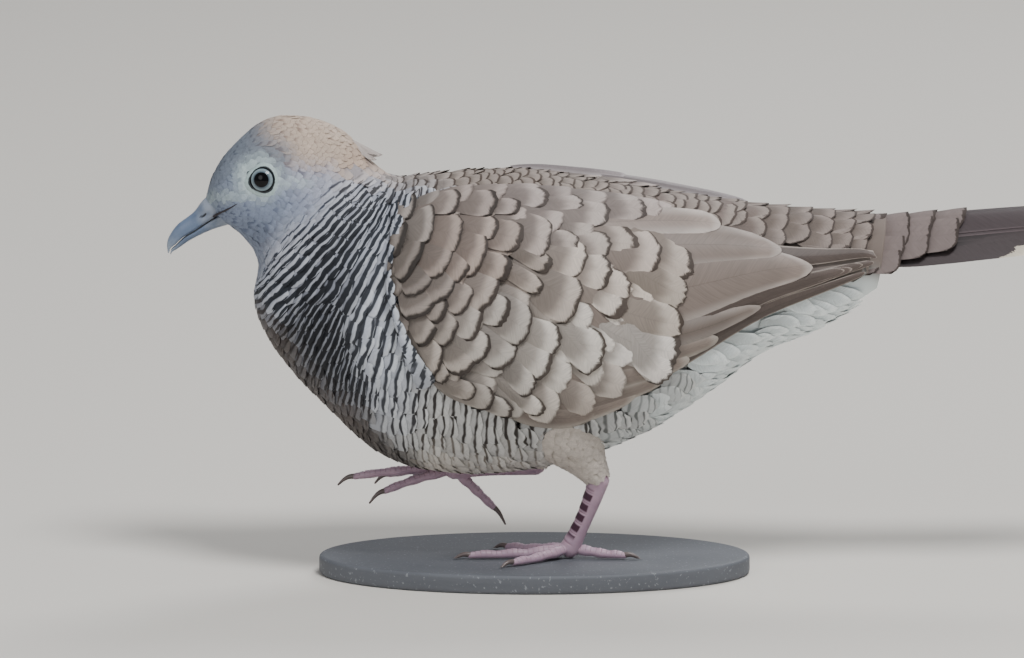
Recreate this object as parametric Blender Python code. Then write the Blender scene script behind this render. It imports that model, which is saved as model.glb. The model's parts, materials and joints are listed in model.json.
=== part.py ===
"""A zebra dove in mid stride, life size, on a small oval base.

The bird faces -X, its left side is at -Y, and +Z is up. Lengths are in millimetres until a mesh
is made, which is in metres. The plumage's outer surface is one lofted form, parted by thin cuts
into head, neck, trunk and tail coverts; the wings lie over it, and bill, eyes and legs are let in.
"""

import math

import bmesh
import bpy
import numpy as np
from mathutils import Vector
from mathutils.bvhtree import BVHTree

MM = 0.001
GAP = 0.3  # clearance between neighbouring solids
SIDES = {"left": -1.0, "right": 1.0}

# The plumage, chord by chord from the bill to the tail: where each chord meets the top line and
# the bottom line (x, z), and the half width there. Each chord crosses the lie of the feathers.
BODY_CHORDS = (
    # top x, top z, bottom x, bottom z, half width
    (-76.2, 75.4, -70.6, 69.2, 2.9),  # bill base
    (-75.4, 80.1, -69.2, 68.0, 5.7),  # forehead
    (-71.3, 85.4, -66.9, 65.6, 7.7),
    (-64.0, 91.3, -65.4, 62.9, 9.0),  # crown and throat
    (-56.5, 92.5, -64.8, 59.5, 9.8),
    (-48.1, 89.3, -65.4, 56.1, 11.0),  # nape
    (-41.9, 82.7, -65.8, 52.8, 13.0),
    (-36.5, 79.0, -64.4, 48.0, 15.3),  # foot of the neck
    (-29.4, 79.7, -59.8, 40.6, 17.8),
    (-19.8, 80.5, -51.2, 31.3, 20.0),  # breast
    (-7.9, 80.7, -38.8, 20.7, 21.3),
    (3.5, 79.0, -23.1, 17.4, 21.3),  # belly
    (15.6, 77.2, -5.2, 19.0, 20.2),
    (27.5, 75.3, 11.9, 24.7, 18.0),
    (38.5, 73.8, 27.1, 34.0, 15.1),  # vent
    (47.7, 73.0, 38.3, 42.5, 13.3),
    (55.2, 72.4, 48.5, 46.5, 12.2),
    (61.5, 72.2, 56.9, 51.2, 11.7),
    (65.6, 72.1, 63.5, 55.7, 11.5),  # end of the tail coverts
)
WIDEST_AT = 0.47  # share of each chord, from the bottom, at which the body is widest
SQUARENESS = 2.15  # superellipse exponent of a section
# Stretches of the body, in chords counted from the bill
BODY_PARTS = {"head": (0.0, 4.6), "neck": (4.6, 7.6), "trunk": (7.6, 14.3), "tail_coverts": (14.3, 18.0)}
RINGS_PER_CHORD = {"head": 2.4, "neck": 2.4, "trunk": 2.4, "tail_coverts": 2.4}
BODY_SEGMENTS = 24
GUIDE_RINGS, GUIDE_SEGMENTS = 190, 96

# Bill, from the gape to the tip: culmen, mouth line and lower edge, as (x, z), then half width
BILL = (
    # culmen x, z, mouth x, z, lower x, z, half width
    (-72.6, 76.4, -69.2, 73.6, -69.6, 70.0, 2.8),
    (-76.2, 75.2, -73.3, 71.8, -72.2, 69.3, 2.5),
    (-78.4, 72.7, -76.2, 70.0, -75.0, 68.4, 2.0),
    (-80.4, 70.9, -78.6, 68.3, -77.7, 67.2, 1.65),
    (-82.4, 69.3, -80.9, 66.9, -80.2, 65.8, 1.35),
    (-84.0, 67.0, -82.7, 65.2, -82.3, 64.3, 0.95),
    (-84.5, 65.2, -83.6, 64.4, -83.3, 63.7, 0.6),
    (-84.3, 63.4, -83.9, 63.5, -83.7, 63.1, 0.3),
)
MOUTH_GAP = 0.32

EYE_AT = (-64.7, 80.0)  # x, z
EYE_RADIUS = 3.55
EYE_STANDS_PROUD = 1.2

# Folded wing, row by row from the shoulder to the tip: where each row meets the upper edge and
# the lower edge (x, z), and how thick the wing is there
WING_ROWS = (
    # top x, top z, low x, low z, thickness
    (-34.0, 74.5, -37.0, 56.5, 1.0),
    (-27.0, 77.0, -34.0, 48.5, 1.8),
    (-19.0, 78.0, -29.0, 39.5, 2.3),
    (-9.5, 78.0, -20.5, 34.1, 2.7),
    (0.5, 76.8, -12.0, 29.4, 2.8),
    (11.2, 75.1, -1.0, 29.8, 2.7),
    (21.4, 73.0, 11.5, 35.6, 2.5),
    (31.6, 70.7, 24.5, 42.6, 2.1),
    (41.8, 68.0, 38.0, 50.8, 1.7),
    (52.0, 66.4, 50.5, 56.0, 1.3),
    (60.3, 65.9, 59.6, 60.0, 0.9),
    (63.4, 64.4, 63.2, 62.7, 0.7),
)
# The right wing's upper edge stands off the back between these rows
WING_LIFT = {"left": 0.0, "right": 1.1}
LIFTED_ROWS = (2.0, 9.0)
COVERTS_END = 6.3  # row where the greater coverts end
TERTIALS_END = 9.0
TERTIALS_SHARE = 0.62  # share of the wing's depth that the tertials cover
FLIGHT_STEP = 0.5  # the flight feathers lie this much lower than the coverts
WING_EDGE = 0.25  # share of its thickness that the wing keeps at its upper and lower edges
WING_GAP = 0.45

# Tail, from the coverts to the tip: ridge height, edge height and half width at each x
TAIL = (
    # x, ridge z, edge z, half width
    (52.0, 71.1, 60.4, 8.8),
    (58.5, 71.1, 60.0, 9.5),
    (65.0, 71.2, 59.6, 10.2),
    (70.0, 71.6, 60.0, 10.8),
    (77.0, 72.2, 61.2, 11.4),
    (85.0, 72.8, 62.6, 11.9),
    (94.0, 73.4, 64.0, 12.3),
    (102.0, 73.8, 65.3, 12.1),
    (110.0, 74.2, 66.9, 11.2),
    (118.0, 74.5, 68.8, 9.4),
    (125.0, 74.7, 70.6, 7.1),
    (130.5, 74.8, 72.2, 4.5),
    (133.5, 74.8, 73.4, 2.0),
)
TAIL_THICKNESS, TAIL_EDGE_THICKNESS = 1.6, 0.7
TAIL_ARCH = 1.45  # exponent of the fall from the ridge to the edges

# Legs: hip, heel and foot of each, as (x, distance from the midline, z)
LEGS = {
    "left": {"hip": (-2.5, 8.6, 29.5), "heel": (5.4, 8.0, 16.9), "foot": (-0.6, 5.0, 1.9)},
    "right": {"hip": (-5.0, 8.4, 27.5), "heel": (-7.8, 8.6, 17.0), "foot": (-24.8, 7.4, 16.2)},
}
THIGH_RADII = (8.6, 7.2, 4.6, 2.8)  # from hip to heel
TARSUS_RADII = (2.2, 2.0, 1.8, 1.8, 2.1)  # from heel to foot
THIGH_END = 0.97  # share of the way from hip to heel that is feathered
TOE_RADIUS, TOE_TIP_RADIUS = 1.2, 0.75
TOE_PADS, TOE_PAD_SWELL = 3.5, 0.09
CLAW_CURL = 1.1
REST_SHARE = 0.85  # a resting toe's axis is this share of its radius above the floor
CLAW_LENGTH, CLAW_RADIUS, CLAW_TIP_RADIUS = 3.6, 0.62, 0.28
# Toes: length without the claw, turn outward from straight ahead, and pitch below the horizontal
# at the root and at the tip, in degrees
TOES = {
    "left": {
        "middle": (21.0, 4.0, 7.0, 0.0),
        "inner": (15.5, -32.0, 7.0, 0.0),
        "outer": (15.0, 38.0, 7.0, 0.0),
        "hallux": (11.5, 172.0, 9.0, 0.0),
    },
    "right": {
        "middle": (21.0, 5.0, 0.0, 6.0),
        "inner": (15.5, -16.0, 9.0, 16.0),
        "outer": (15.0, 24.0, 2.0, 12.0),
        "hallux": (11.5, 176.0, 44.0, 40.0),
    },
}

BASE_CENTRE = (-8.0, 0.0)
BASE_HALF_AXES = (45.0, 24.5)
BASE_THICKNESS = 4.0
BASE_BEVEL = 0.8

MATERIALS = {
    # base colour, roughness
    "face_plumage": ((0.36, 0.40, 0.46), 0.85),
    "barred_plumage": ((0.34, 0.32, 0.31), 0.85),
    "wing_plumage": ((0.36, 0.30, 0.25), 0.8),
    "flight_feathers": ((0.27, 0.22, 0.19), 0.7),
    "pale_plumage": ((0.62, 0.60, 0.56), 0.9),
    "bill_horn": ((0.33, 0.40, 0.50), 0.45),
    "eye": ((0.02, 0.02, 0.02), 0.1),
    "leg_skin": ((0.52, 0.27, 0.30), 0.5),
    "claw_horn": ((0.10, 0.08, 0.08), 0.4),
    "stand_finish": ((0.16, 0.16, 0.17), 0.6),
}


def spline(table, at):
    """The rows of a table joined by a smooth curve, read at a fractional row number."""
    rows = np.asarray(table, float)
    last = len(rows) - 1
    i = min(int(at), last - 1)
    t = at - i
    before = rows[i - 1] if i else 2 * rows[0] - rows[1]
    after = rows[i + 2] if i + 2 <= last else 2 * rows[last] - rows[last - 1]
    a, b = rows[i], rows[i + 1]
    slope_a, slope_b = (b - before) / 2, (after - a) / 2
    return (
        a * (2 * t**3 - 3 * t**2 + 1)
        + slope_a * (t**3 - 2 * t**2 + t)
        + b * (3 * t**2 - 2 * t**3)
        + slope_b * (t**3 - t**2)
    )


def signed_power(value, exponent):
    return math.copysign(abs(value) ** exponent, value)


def body_ring(at, grow=0.0, segments=BODY_SEGMENTS):
    """One section of the body, across the chord at this place, made larger all round by grow."""
    top_x, top_z, bottom_x, bottom_z, half_width = spline(BODY_CHORDS, at)
    top, bottom = np.array((top_x, 0, top_z)), np.array((bottom_x, 0, bottom_z))
    height = np.linalg.norm(top - bottom)
    up = (top - bottom) / height
    middle = bottom + up * height * WIDEST_AT
    ring = []
    for k in range(segments):
        turn = 2 * math.pi * k / segments
        across = signed_power(math.sin(turn), 2 / SQUARENESS) * (half_width + grow)
        share = 1 - WIDEST_AT if math.cos(turn) > 0 else WIDEST_AT
        along = signed_power(math.cos(turn), 2 / SQUARENESS) * (height * share + grow)
        ring.append(middle + up * along + np.array((0, across, 0)))
    return ring


def loft(name, rings, material, parent):
    """A closed solid through rings of points that all go the same way round."""
    mesh = bmesh.new()
    loops = [[mesh.verts.new(Vector(point) * MM) for point in ring] for ring in rings]
    for near, far in zip(loops, loops[1:]):
        for i, corner in enumerate(near):
            j = (i + 1) % len(near)
            mesh.faces.new((corner, near[j], far[j], far[i]))
    mesh.faces.new(loops[0])
    mesh.faces.new(loops[-1])
    bmesh.ops.recalc_face_normals(mesh, faces=mesh.faces)
    return finish(name, mesh, material, parent)


def finish(name, mesh, material, parent):
    """Turns a bmesh into an object with its material, smooth apart from its sharp edges."""
    data = bpy.data.meshes.new(name)
    mesh.to_mesh(data)
    mesh.free()
    data.shade_smooth()
    data.set_sharp_from_angle(angle=math.radians(40))
    if material:
        data.materials.append(bpy.data.materials[material])
    made = bpy.data.objects.new(name, data)
    bpy.context.scene.collection.objects.link(made)
    made.parent = parent
    return made


def combine(target, helper, operation):
    """Cuts the helper's shape out of the target, or joins it on."""
    modifier = target.modifiers.new(operation.lower() + "_" + helper.name, "BOOLEAN")
    modifier.operation = operation
    modifier.solver = "EXACT"
    modifier.object = helper


def as_helper(made):
    made.hide_render = True
    made.display_type = "WIRE"
    return made


def make_materials():
    for name, (colour, roughness) in MATERIALS.items():
        material = bpy.data.materials.new(name)
        material.use_nodes = True
        shader = material.node_tree.nodes["Principled BSDF"]
        shader.inputs["Base Color"].default_value = (*colour, 1)
        shader.inputs["Roughness"].default_value = roughness
        shader.inputs["Metallic"].default_value = 0


def half_cut(at):
    """Half the width of a thin cut, in chords, that leaves GAP where the chords are closest."""
    step = 0.05
    here, there = spline(BODY_CHORDS, at - step), spline(BODY_CHORDS, at + step)
    speed = min(np.linalg.norm((there - here)[:2]), np.linalg.norm((there - here)[2:4])) / (2 * step)
    return GAP / speed / 2


def make_body(parent):
    """Head, neck, trunk and tail coverts, with their cuts square to the lie of the feathers."""
    plumage = {"head": "face_plumage", "neck": "barred_plumage", "trunk": "barred_plumage", "tail_coverts": "pale_plumage"}
    last = len(BODY_CHORDS) - 1
    made = {}
    for name, (start, end) in BODY_PARTS.items():
        first = start + (half_cut(start) if start > 0 else 0)
        final = end - (half_cut(end) if end < last else 0)
        count = round((final - first) * RINGS_PER_CHORD[name]) + 1
        rings = [body_ring(at) for at in np.linspace(first, final, count)]
        made[name] = loft(name, rings, plumage[name], parent)
    return made


def body_guide():
    """The body's whole surface, finely divided, to lay other parts on."""
    last = len(BODY_CHORDS) - 1
    rings = [body_ring(at, segments=GUIDE_SEGMENTS) for at in np.linspace(0, last, GUIDE_RINGS)]
    points = [Vector(p) for ring in rings for p in ring]
    faces = []
    for r in range(GUIDE_RINGS - 1):
        for k in range(GUIDE_SEGMENTS):
            a, b = r * GUIDE_SEGMENTS + k, r * GUIDE_SEGMENTS + (k + 1) % GUIDE_SEGMENTS
            faces.append((a, b, b + GUIDE_SEGMENTS, a + GUIDE_SEGMENTS))
    return BVHTree.FromPolygons(points, faces)


def on_body(guide, x, z, side):
    """(place, outward normal) of the body's surface at this x and z, on one side."""
    far = 60.0
    place, normal, _, _ = guide.ray_cast(Vector((x, side * far, z)), Vector((0, -side, 0)))
    if normal.y * side < 0:
        normal = -normal
    return np.array(place), np.array(normal)


def make_bill(parent, head):
    """Upper and lower mandible, parted by the mouth line and let into the head."""
    shares = np.linspace(0, len(BILL) - 1, 11)
    arc = [math.pi * k / 6 for k in range(7)]

    def mandible(upper, grow):
        rings = []
        for at in shares:
            culmen_x, culmen_z, mouth_x, mouth_z, lower_x, lower_z, half_width = spline(BILL, at)
            mouth = np.array((mouth_x, 0, mouth_z))
            edge = np.array((culmen_x, 0, culmen_z) if upper else (lower_x, 0, lower_z))
            reach = np.linalg.norm(edge - mouth)
            away = (edge - mouth) / reach
            start = mouth + away * (MOUTH_GAP / 2 - grow)
            reach = max(reach - MOUTH_GAP / 2, 0.15) + 2 * grow
            width = (half_width if upper else half_width * 0.92) + grow
            arch = [
                start + away * reach * math.sin(a) ** 0.8 + np.array((0, width * math.cos(a), 0))
                for a in arc
            ]
            rings.append(arch)
        return rings

    both = {}
    for name, upper in (("bill_upper", True), ("bill_lower", False)):
        both[name] = loft(name, mandible(upper, 0.0), "bill_horn", parent)
        socket = as_helper(loft(name + "_socket", mandible(upper, GAP), None, parent))
        combine(head, socket, "DIFFERENCE")
    return both


def ball(name, centre, radius, material, parent, segments=14):
    mesh = bmesh.new()
    bmesh.ops.create_uvsphere(mesh, u_segments=segments, v_segments=segments // 2 + 2, radius=radius * MM)
    for vertex in mesh.verts:  # the poles look outward, so that the iris has a regular rim
        vertex.co = Vector((vertex.co.x, -vertex.co.z, vertex.co.y))
    bmesh.ops.recalc_face_normals(mesh, faces=mesh.faces)
    made = finish(name, mesh, material, parent)
    made.location = Vector(centre) * MM
    return made


def make_eyes(parent, head, guide):
    for side, sign in SIDES.items():
        place, normal = on_body(guide, *EYE_AT, sign)
        centre = place - normal * (EYE_RADIUS - EYE_STANDS_PROUD)
        ball("eye_" + side, centre, EYE_RADIUS, "eye", parent)
        socket = as_helper(ball(f"eye_{side}_socket", centre, EYE_RADIUS + GAP, None, parent))
        combine(head, socket, "DIFFERENCE")


def lift_of(row, lift):
    """How far the wing's upper edge stands off the back at this row."""
    start, end = LIFTED_ROWS
    share = min(max((row - start) / (end - start), 0.0), 1.0)
    return lift * math.sin(math.pi * share) ** 0.7


def wing_point(guide, row, share, sign, step, lift):
    """(inner, outer) points of the wing: share runs from its upper edge to its lower edge."""
    top_x, top_z, low_x, low_z, thickness = spline(WING_ROWS, row)
    raised = lift_of(row, lift)
    top_z += raised
    x, z = top_x + (low_x - top_x) * share, top_z + (low_z - top_z) * share
    place, normal = on_body(guide, x, z, sign)
    swell = WING_EDGE + (1 - WING_EDGE) * math.sin(math.pi * min(max(share, 0.0), 1.0)) ** 0.5
    depth = max(thickness * swell - step, 0.55)
    gap = WING_GAP + raised * (1 - share) ** 3
    return place + normal * gap, place + normal * (gap + depth)


def wing_panel(name, place, rows, top_share, low_share, step, material, parent):
    """A stretch of wing from one row to another, between two shares of its depth."""
    guide, sign, lift = place
    across = 8
    rings = []
    for row in rows:
        shares = np.linspace(top_share(row), low_share(row), across)
        pairs = [wing_point(guide, row, share, sign, step, lift) for share in shares]
        rings.append([outer for _, outer in pairs] + [inner for inner, _ in reversed(pairs)])
    return loft(name, rings, material, parent)


def make_wings(parent, guide):
    """Each wing's coverts, then its tertials above and its primaries below and behind them."""
    tip = len(WING_ROWS) - 1
    part = 0.035  # the thin cut between panels, in rows and in shares

    def tertials_low(row):
        past = max(row - COVERTS_END - 1.2, 0.0) / (TERTIALS_END - COVERTS_END - 1.2)
        return TERTIALS_SHARE * math.sqrt(max(1 - past**2, 0.0)) + 0.06

    def primaries_top(row):
        return tertials_low(row) + part if row < TERTIALS_END else 0.03

    def whole(_row):
        return 1.0

    def none(_row):
        return 0.0

    for side, sign in SIDES.items():
        wing = "wing_" + side
        place = (guide, sign, WING_LIFT[side])
        rows = np.linspace(0.0, COVERTS_END, 14)
        wing_panel(wing + "_coverts", place, rows, none, whole, 0.0, "wing_plumage", parent)
        rows = np.linspace(COVERTS_END + part, TERTIALS_END - part, 9)
        wing_panel(
            wing + "_tertials", place, rows, none, tertials_low, FLIGHT_STEP, "wing_plumage", parent
        )
        rows = np.append(rows, np.linspace(TERTIALS_END + 3 * part, tip, 6))
        wing_panel(
            wing + "_primaries", place, rows, primaries_top, whole, FLIGHT_STEP, "flight_feathers", parent
        )


def tail_rings(grow):
    """The tail's arched sections, made larger all round by grow."""
    across = 13
    rings = []
    for at in np.linspace(0, len(TAIL) - 1, 14):
        x, ridge, edge, half_width = spline(TAIL, at)
        arch, under = [], []
        for i, share in enumerate(np.linspace(-1, 1, across)):
            fall = (ridge - edge - TAIL_THICKNESS) * abs(share) ** TAIL_ARCH
            inside = 0 < i < across - 1
            thickness = TAIL_THICKNESS if inside else TAIL_EDGE_THICKNESS
            wide, narrow = half_width + grow, half_width + (-grow if inside else grow)
            arch.append(np.array((x, share * wide, ridge - fall + grow)))
            under.append(np.array((x, share * narrow, ridge - fall - thickness - grow)))
        rings.append(arch + under[::-1])
    return rings


def make_tail(parent, coverts):
    """The closed tail: a long arched fan, graduated to its central pair, let into its coverts."""
    loft("tail", tail_rings(0.0), "flight_feathers", parent)
    rings = tail_rings(GAP)
    rings[0] = [point - np.array((GAP, 0, 0)) for point in rings[0]]
    combine(coverts, as_helper(loft("tail_socket", rings, None, parent)), "DIFFERENCE")


def tube_rings(path, radii, segments, lowest=None):
    """Rings along a path of points, square to it. lowest, in radii, keeps them up off the floor."""
    path = [np.array(p, float) for p in path]
    if lowest is not None:
        for centre, radius in zip(path, radii):
            centre[2] = max(centre[2], lowest * radius)
    rings = []
    for i, (centre, radius) in enumerate(zip(path, radii)):
        ahead = path[min(i + 1, len(path) - 1)] - path[max(i - 1, 0)]
        ahead /= np.linalg.norm(ahead)
        across = np.cross(ahead, (0, 0, 1.0))
        if np.linalg.norm(across) < 0.2:
            across = np.cross(ahead, (1.0, 0, 0))
        across /= np.linalg.norm(across)
        up = np.cross(across, ahead)
        ring = []
        for k in range(segments):
            turn = 2 * math.pi * k / segments
            ring.append(centre + radius * (math.cos(turn) * across + math.sin(turn) * up))
        rings.append(ring)
    return rings


def toe_path(start, length, turn, pitch, tip_pitch, sign):
    """Points along a toe that curls evenly from its first pitch to its last."""
    steps = 8
    heading = math.radians(turn)
    point = np.array(start, float)
    path = [point]
    for i in range(steps):
        down = math.radians(pitch + (tip_pitch - pitch) * i / (steps - 1))
        way = np.array((-math.cos(heading) * math.cos(down), sign * math.sin(heading) * math.cos(down), -math.sin(down)))
        point = point + way * length / steps
        path.append(point)
    return path


def make_toe(side, toe, foot, sign, lowest, leg, parent):
    """One toe with its pads, joined to the leg, and its claw."""
    length, turn, pitch, tip_pitch = TOES[side][toe]
    whole = toe_path(foot, length + CLAW_LENGTH, turn, pitch, tip_pitch + 6, sign)
    ways = np.cumsum([0] + [np.linalg.norm(b - a) for a, b in zip(whole, whole[1:])])

    def at(distance):
        return np.array([np.interp(distance, ways, [p[k] for p in whole]) for k in range(3)])

    stations = np.linspace(0, length, 10)
    taper = (TOE_TIP_RADIUS - TOE_RADIUS) / length
    radii = [
        (TOE_RADIUS + taper * d) * (1 + TOE_PAD_SWELL * math.cos(2 * math.pi * TOE_PADS * d / length))
        for d in stations
    ]
    rings = tube_rings([at(d) for d in stations], radii, 8, lowest)
    combine(leg, as_helper(loft(f"toe_{side}_{toe}", rings, None, parent)), "UNION")
    claw = np.linspace(length + GAP, length + CLAW_LENGTH, 5)
    shares = (claw - claw[0]) / (claw[-1] - claw[0])
    path = [at(d) - np.array((0, 0, CLAW_CURL * share**2)) for d, share in zip(claw, shares)]
    radii = [CLAW_RADIUS + (CLAW_TIP_RADIUS - CLAW_RADIUS) * share for share in shares]
    loft(f"claw_{side}_{toe}", tube_rings(path, radii, 6, lowest and 1.05), "claw_horn", parent)


def slab_below_floor(parent):
    """A helper that gives the standing foot its flats, all at the floor's height."""
    x, y, depth = 80.0, 60.0, 20.0
    corners = [(-x, -y), (x, -y), (x, y), (-x, y)]
    return loft("floor_slab", [[(a, b, z) for a, b in corners] for z in (0.0, -depth)], None, parent)


def make_leg(side, sign, parent, trunk_socket):
    """Feathered thigh of one leg, and its bare tarsus with the toes joined on."""
    joints = {name: np.array((x, sign * y, z)) for name, (x, y, z) in LEGS[side].items()}
    hip, heel, foot = joints["hip"], joints["heel"], joints["foot"]
    path = [hip + (heel - hip) * t for t in np.linspace(0, THIGH_END, 9)]
    radii = [float(spline([(r,) for r in THIGH_RADII], t)[0]) for t in np.linspace(0, 3, 9)]
    thigh = loft("thigh_" + side, tube_rings(path, radii, 14), "pale_plumage", parent)
    combine(thigh, trunk_socket, "DIFFERENCE")
    path = [heel + (foot - heel) * t for t in np.linspace(0, 1, 6)]
    radii = [float(spline([(r,) for r in TARSUS_RADII], t)[0]) for t in np.linspace(0, 4, 6)]
    up = (heel - foot) / np.linalg.norm(heel - foot)
    path = [heel + up * radii[0] * 0.55] + path + [foot - up * radii[-1] * 0.55]
    ends = [radii[0] * 0.6], [radii[-1] * 0.6]
    rings = tube_rings(path, ends[0] + radii + ends[1], 10)
    leg = loft("leg_" + side, rings, "leg_skin", parent)
    grown = [r + GAP for r in ends[0] + radii + ends[1]]
    socket_path = [path[0] + up * GAP, *path[1:]]
    socket = as_helper(loft(f"leg_{side}_socket", tube_rings(socket_path, grown, 10), None, parent))
    combine(thigh, socket, "DIFFERENCE")
    lowest = REST_SHARE if side == "left" else None
    for toe in TOES[side]:
        make_toe(side, toe, foot, sign, lowest, leg, parent)
    if lowest:
        combine(leg, as_helper(slab_below_floor(parent)), "DIFFERENCE")


def make_base(parent):
    mesh = bmesh.new()
    bmesh.ops.create_cone(mesh, cap_ends=True, segments=36, radius1=1, radius2=1, depth=BASE_THICKNESS * MM)
    half_x, half_y = BASE_HALF_AXES
    bmesh.ops.scale(mesh, vec=(half_x * MM, half_y * MM, 1), verts=mesh.verts)
    base = finish("stand_base", mesh, "stand_finish", parent)
    base.location = Vector((*BASE_CENTRE, -GAP - BASE_THICKNESS / 2)) * MM
    bevel = base.modifiers.new("rim", "BEVEL")
    bevel.width = BASE_BEVEL * MM
    bevel.segments = 2
    bevel.limit_method = "ANGLE"


def centre_on_base(root):
    """Puts the origin at the middle of the whole model's underside."""
    bpy.context.view_layer.update()
    graph = bpy.context.evaluated_depsgraph_get()
    corners = []
    for made in bpy.context.scene.objects:
        if made.type == "MESH" and not made.hide_render:
            evaluated = made.evaluated_get(graph)
            corners += [evaluated.matrix_world @ v.co for v in evaluated.data.vertices]
    low = [min(c[k] for c in corners) for k in range(3)]
    high = [max(c[k] for c in corners) for k in range(3)]
    root.location = (-(low[0] + high[0]) / 2, -(low[1] + high[1]) / 2, -low[2])


def main():
    for old in list(bpy.data.objects):
        bpy.data.objects.remove(old)
    make_materials()
    root = bpy.data.objects.new("dove", None)
    bpy.context.scene.collection.objects.link(root)
    guide = body_guide()
    body = make_body(root)
    make_bill(root, body["head"])
    make_eyes(root, body["head"], guide)
    make_wings(root, guide)
    make_tail(root, body["tail_coverts"])
    first, last = BODY_PARTS["trunk"][0] - 1, BODY_PARTS["trunk"][1]
    rings = [body_ring(at, grow=GAP) for at in np.linspace(first, last, 28)]
    trunk_socket = as_helper(loft("trunk_socket", rings, None, root))
    for side, sign in SIDES.items():
        make_leg(side, sign, root, trunk_socket)
    make_base(root)
    centre_on_base(root)


main()
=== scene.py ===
"""The looks of a zebra dove in mid stride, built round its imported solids.

Lengths are in millimetres, with the standing foot under x = 0, until a mesh is made, which is in
metres in the frame of the solids. The bird faces -X and its left side is at -Y. Every feather is a
closed vane that a node tree lays on a smooth surface, its lie, by the place of its root there.
"""

import json
import math
from functools import cache, partial

import bmesh
import bpy
import numpy as np
from bpy.props import FloatProperty, FloatVectorProperty, PointerProperty
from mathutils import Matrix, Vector
from mathutils.bvhtree import BVHTree
from mathutils.kdtree import KDTree

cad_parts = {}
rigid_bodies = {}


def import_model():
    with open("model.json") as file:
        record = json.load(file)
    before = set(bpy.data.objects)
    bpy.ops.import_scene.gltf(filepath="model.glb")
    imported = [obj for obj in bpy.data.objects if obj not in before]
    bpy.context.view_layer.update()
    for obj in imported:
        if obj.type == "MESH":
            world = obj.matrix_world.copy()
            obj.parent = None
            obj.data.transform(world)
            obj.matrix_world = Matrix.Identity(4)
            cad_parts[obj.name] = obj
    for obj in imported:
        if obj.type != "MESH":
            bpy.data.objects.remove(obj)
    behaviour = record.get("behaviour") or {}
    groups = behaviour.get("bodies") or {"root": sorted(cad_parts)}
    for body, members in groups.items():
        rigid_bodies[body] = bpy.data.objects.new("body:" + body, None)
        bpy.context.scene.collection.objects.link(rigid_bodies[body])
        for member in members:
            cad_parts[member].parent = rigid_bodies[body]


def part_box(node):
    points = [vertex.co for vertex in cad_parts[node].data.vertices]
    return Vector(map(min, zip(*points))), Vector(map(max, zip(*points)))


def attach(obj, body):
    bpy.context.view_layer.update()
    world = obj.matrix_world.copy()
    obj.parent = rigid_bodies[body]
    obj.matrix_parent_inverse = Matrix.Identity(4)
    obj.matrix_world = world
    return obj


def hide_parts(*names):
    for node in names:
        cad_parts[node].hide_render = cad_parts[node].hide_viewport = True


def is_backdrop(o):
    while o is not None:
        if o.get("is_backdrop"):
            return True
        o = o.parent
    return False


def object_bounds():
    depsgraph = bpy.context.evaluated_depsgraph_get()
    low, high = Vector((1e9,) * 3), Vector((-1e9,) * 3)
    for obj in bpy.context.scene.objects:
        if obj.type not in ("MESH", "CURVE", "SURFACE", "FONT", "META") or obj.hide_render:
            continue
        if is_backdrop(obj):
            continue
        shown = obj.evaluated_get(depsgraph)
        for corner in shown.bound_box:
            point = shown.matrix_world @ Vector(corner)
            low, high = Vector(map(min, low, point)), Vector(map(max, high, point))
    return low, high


bl_info = {
    "name": "Zebra Dove",
    "version": (1, 0, 0),
    "blender": (4, 5, 0),
    "location": "View3D > Sidebar > Zebra Dove",
    "description": "A life-size zebra dove in mid stride, feather by feather, on a stone base",
    "category": "Add Mesh",
}

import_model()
CAD_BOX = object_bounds()
MM = 0.001
SIDES = {"left": -1.0, "right": 1.0}
HELPER = "zebra_dove_helper"

# Where each chord of the body meets its top line and its bottom line (x, z), and the half width
BODY_CHORDS = (
    (-76.2, 75.4, -70.6, 69.2, 2.9), (-74.7, 80, -69.2, 68, 5.6), (-71.2, 85.3, -66.9, 65.6, 7.6),
    (-64, 91.3, -65.4, 62.9, 9), (-56.5, 92.2, -64.8, 59.5, 9.8), (-48.1, 89.3, -65.4, 56.1, 11),
    (-41.9, 82.7, -65.8, 52.8, 13), (-36.5, 79, -64.4, 48, 15.3), (-29.4, 79.7, -59.8, 40.6, 17.8),
    (-19.8, 80.5, -51.2, 31.3, 20), (-7.9, 80.7, -38.8, 20.7, 21.3), (3.5, 79, -23.1, 17.4, 21.3),
    (15.6, 77.2, -5.2, 19, 20.2), (27.5, 75.3, 11.9, 24.7, 18), (38.5, 73.8, 27.1, 34, 15.1),
    (47.7, 73, 38.3, 42.5, 13.3), (55.2, 72.4, 48.5, 46.5, 12.2), (61.5, 72.2, 56.9, 51.2, 11.7),
    (65.6, 72.1, 63.5, 55.7, 11.5),
)
WIDEST_AT, SQUARENESS = 0.47, 2.15
LAST_CHORD = len(BODY_CHORDS) - 1
# How deep the coat is at each chord
COAT_DEPTH = ((0, 0.45), (4.6, 0.8), (7.6, 1.4), (10, 1.7), (14, 1.6), (18, 0.9))

# Rows of feathers fan out from the foot of the nape. Row number, then the chord at which that row
# meets the top line and the bottom line
ROW_FAN = (
    (0, 0, 0), (4, 4.7, 3.6), (5, 5.9, 4), (5.6, 6.3, 4.7), (6.6, 6.6, 6.1), (7.6, 6.9, 7.6),
    (8.6, 7.4, 9.1), (9.6, 8.2, 10.3), (10.6, 9.5, 11.3), (12, 11.3, 12.5), (14, 13.8, 14.2),
    (18, 18, 18),
)

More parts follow.
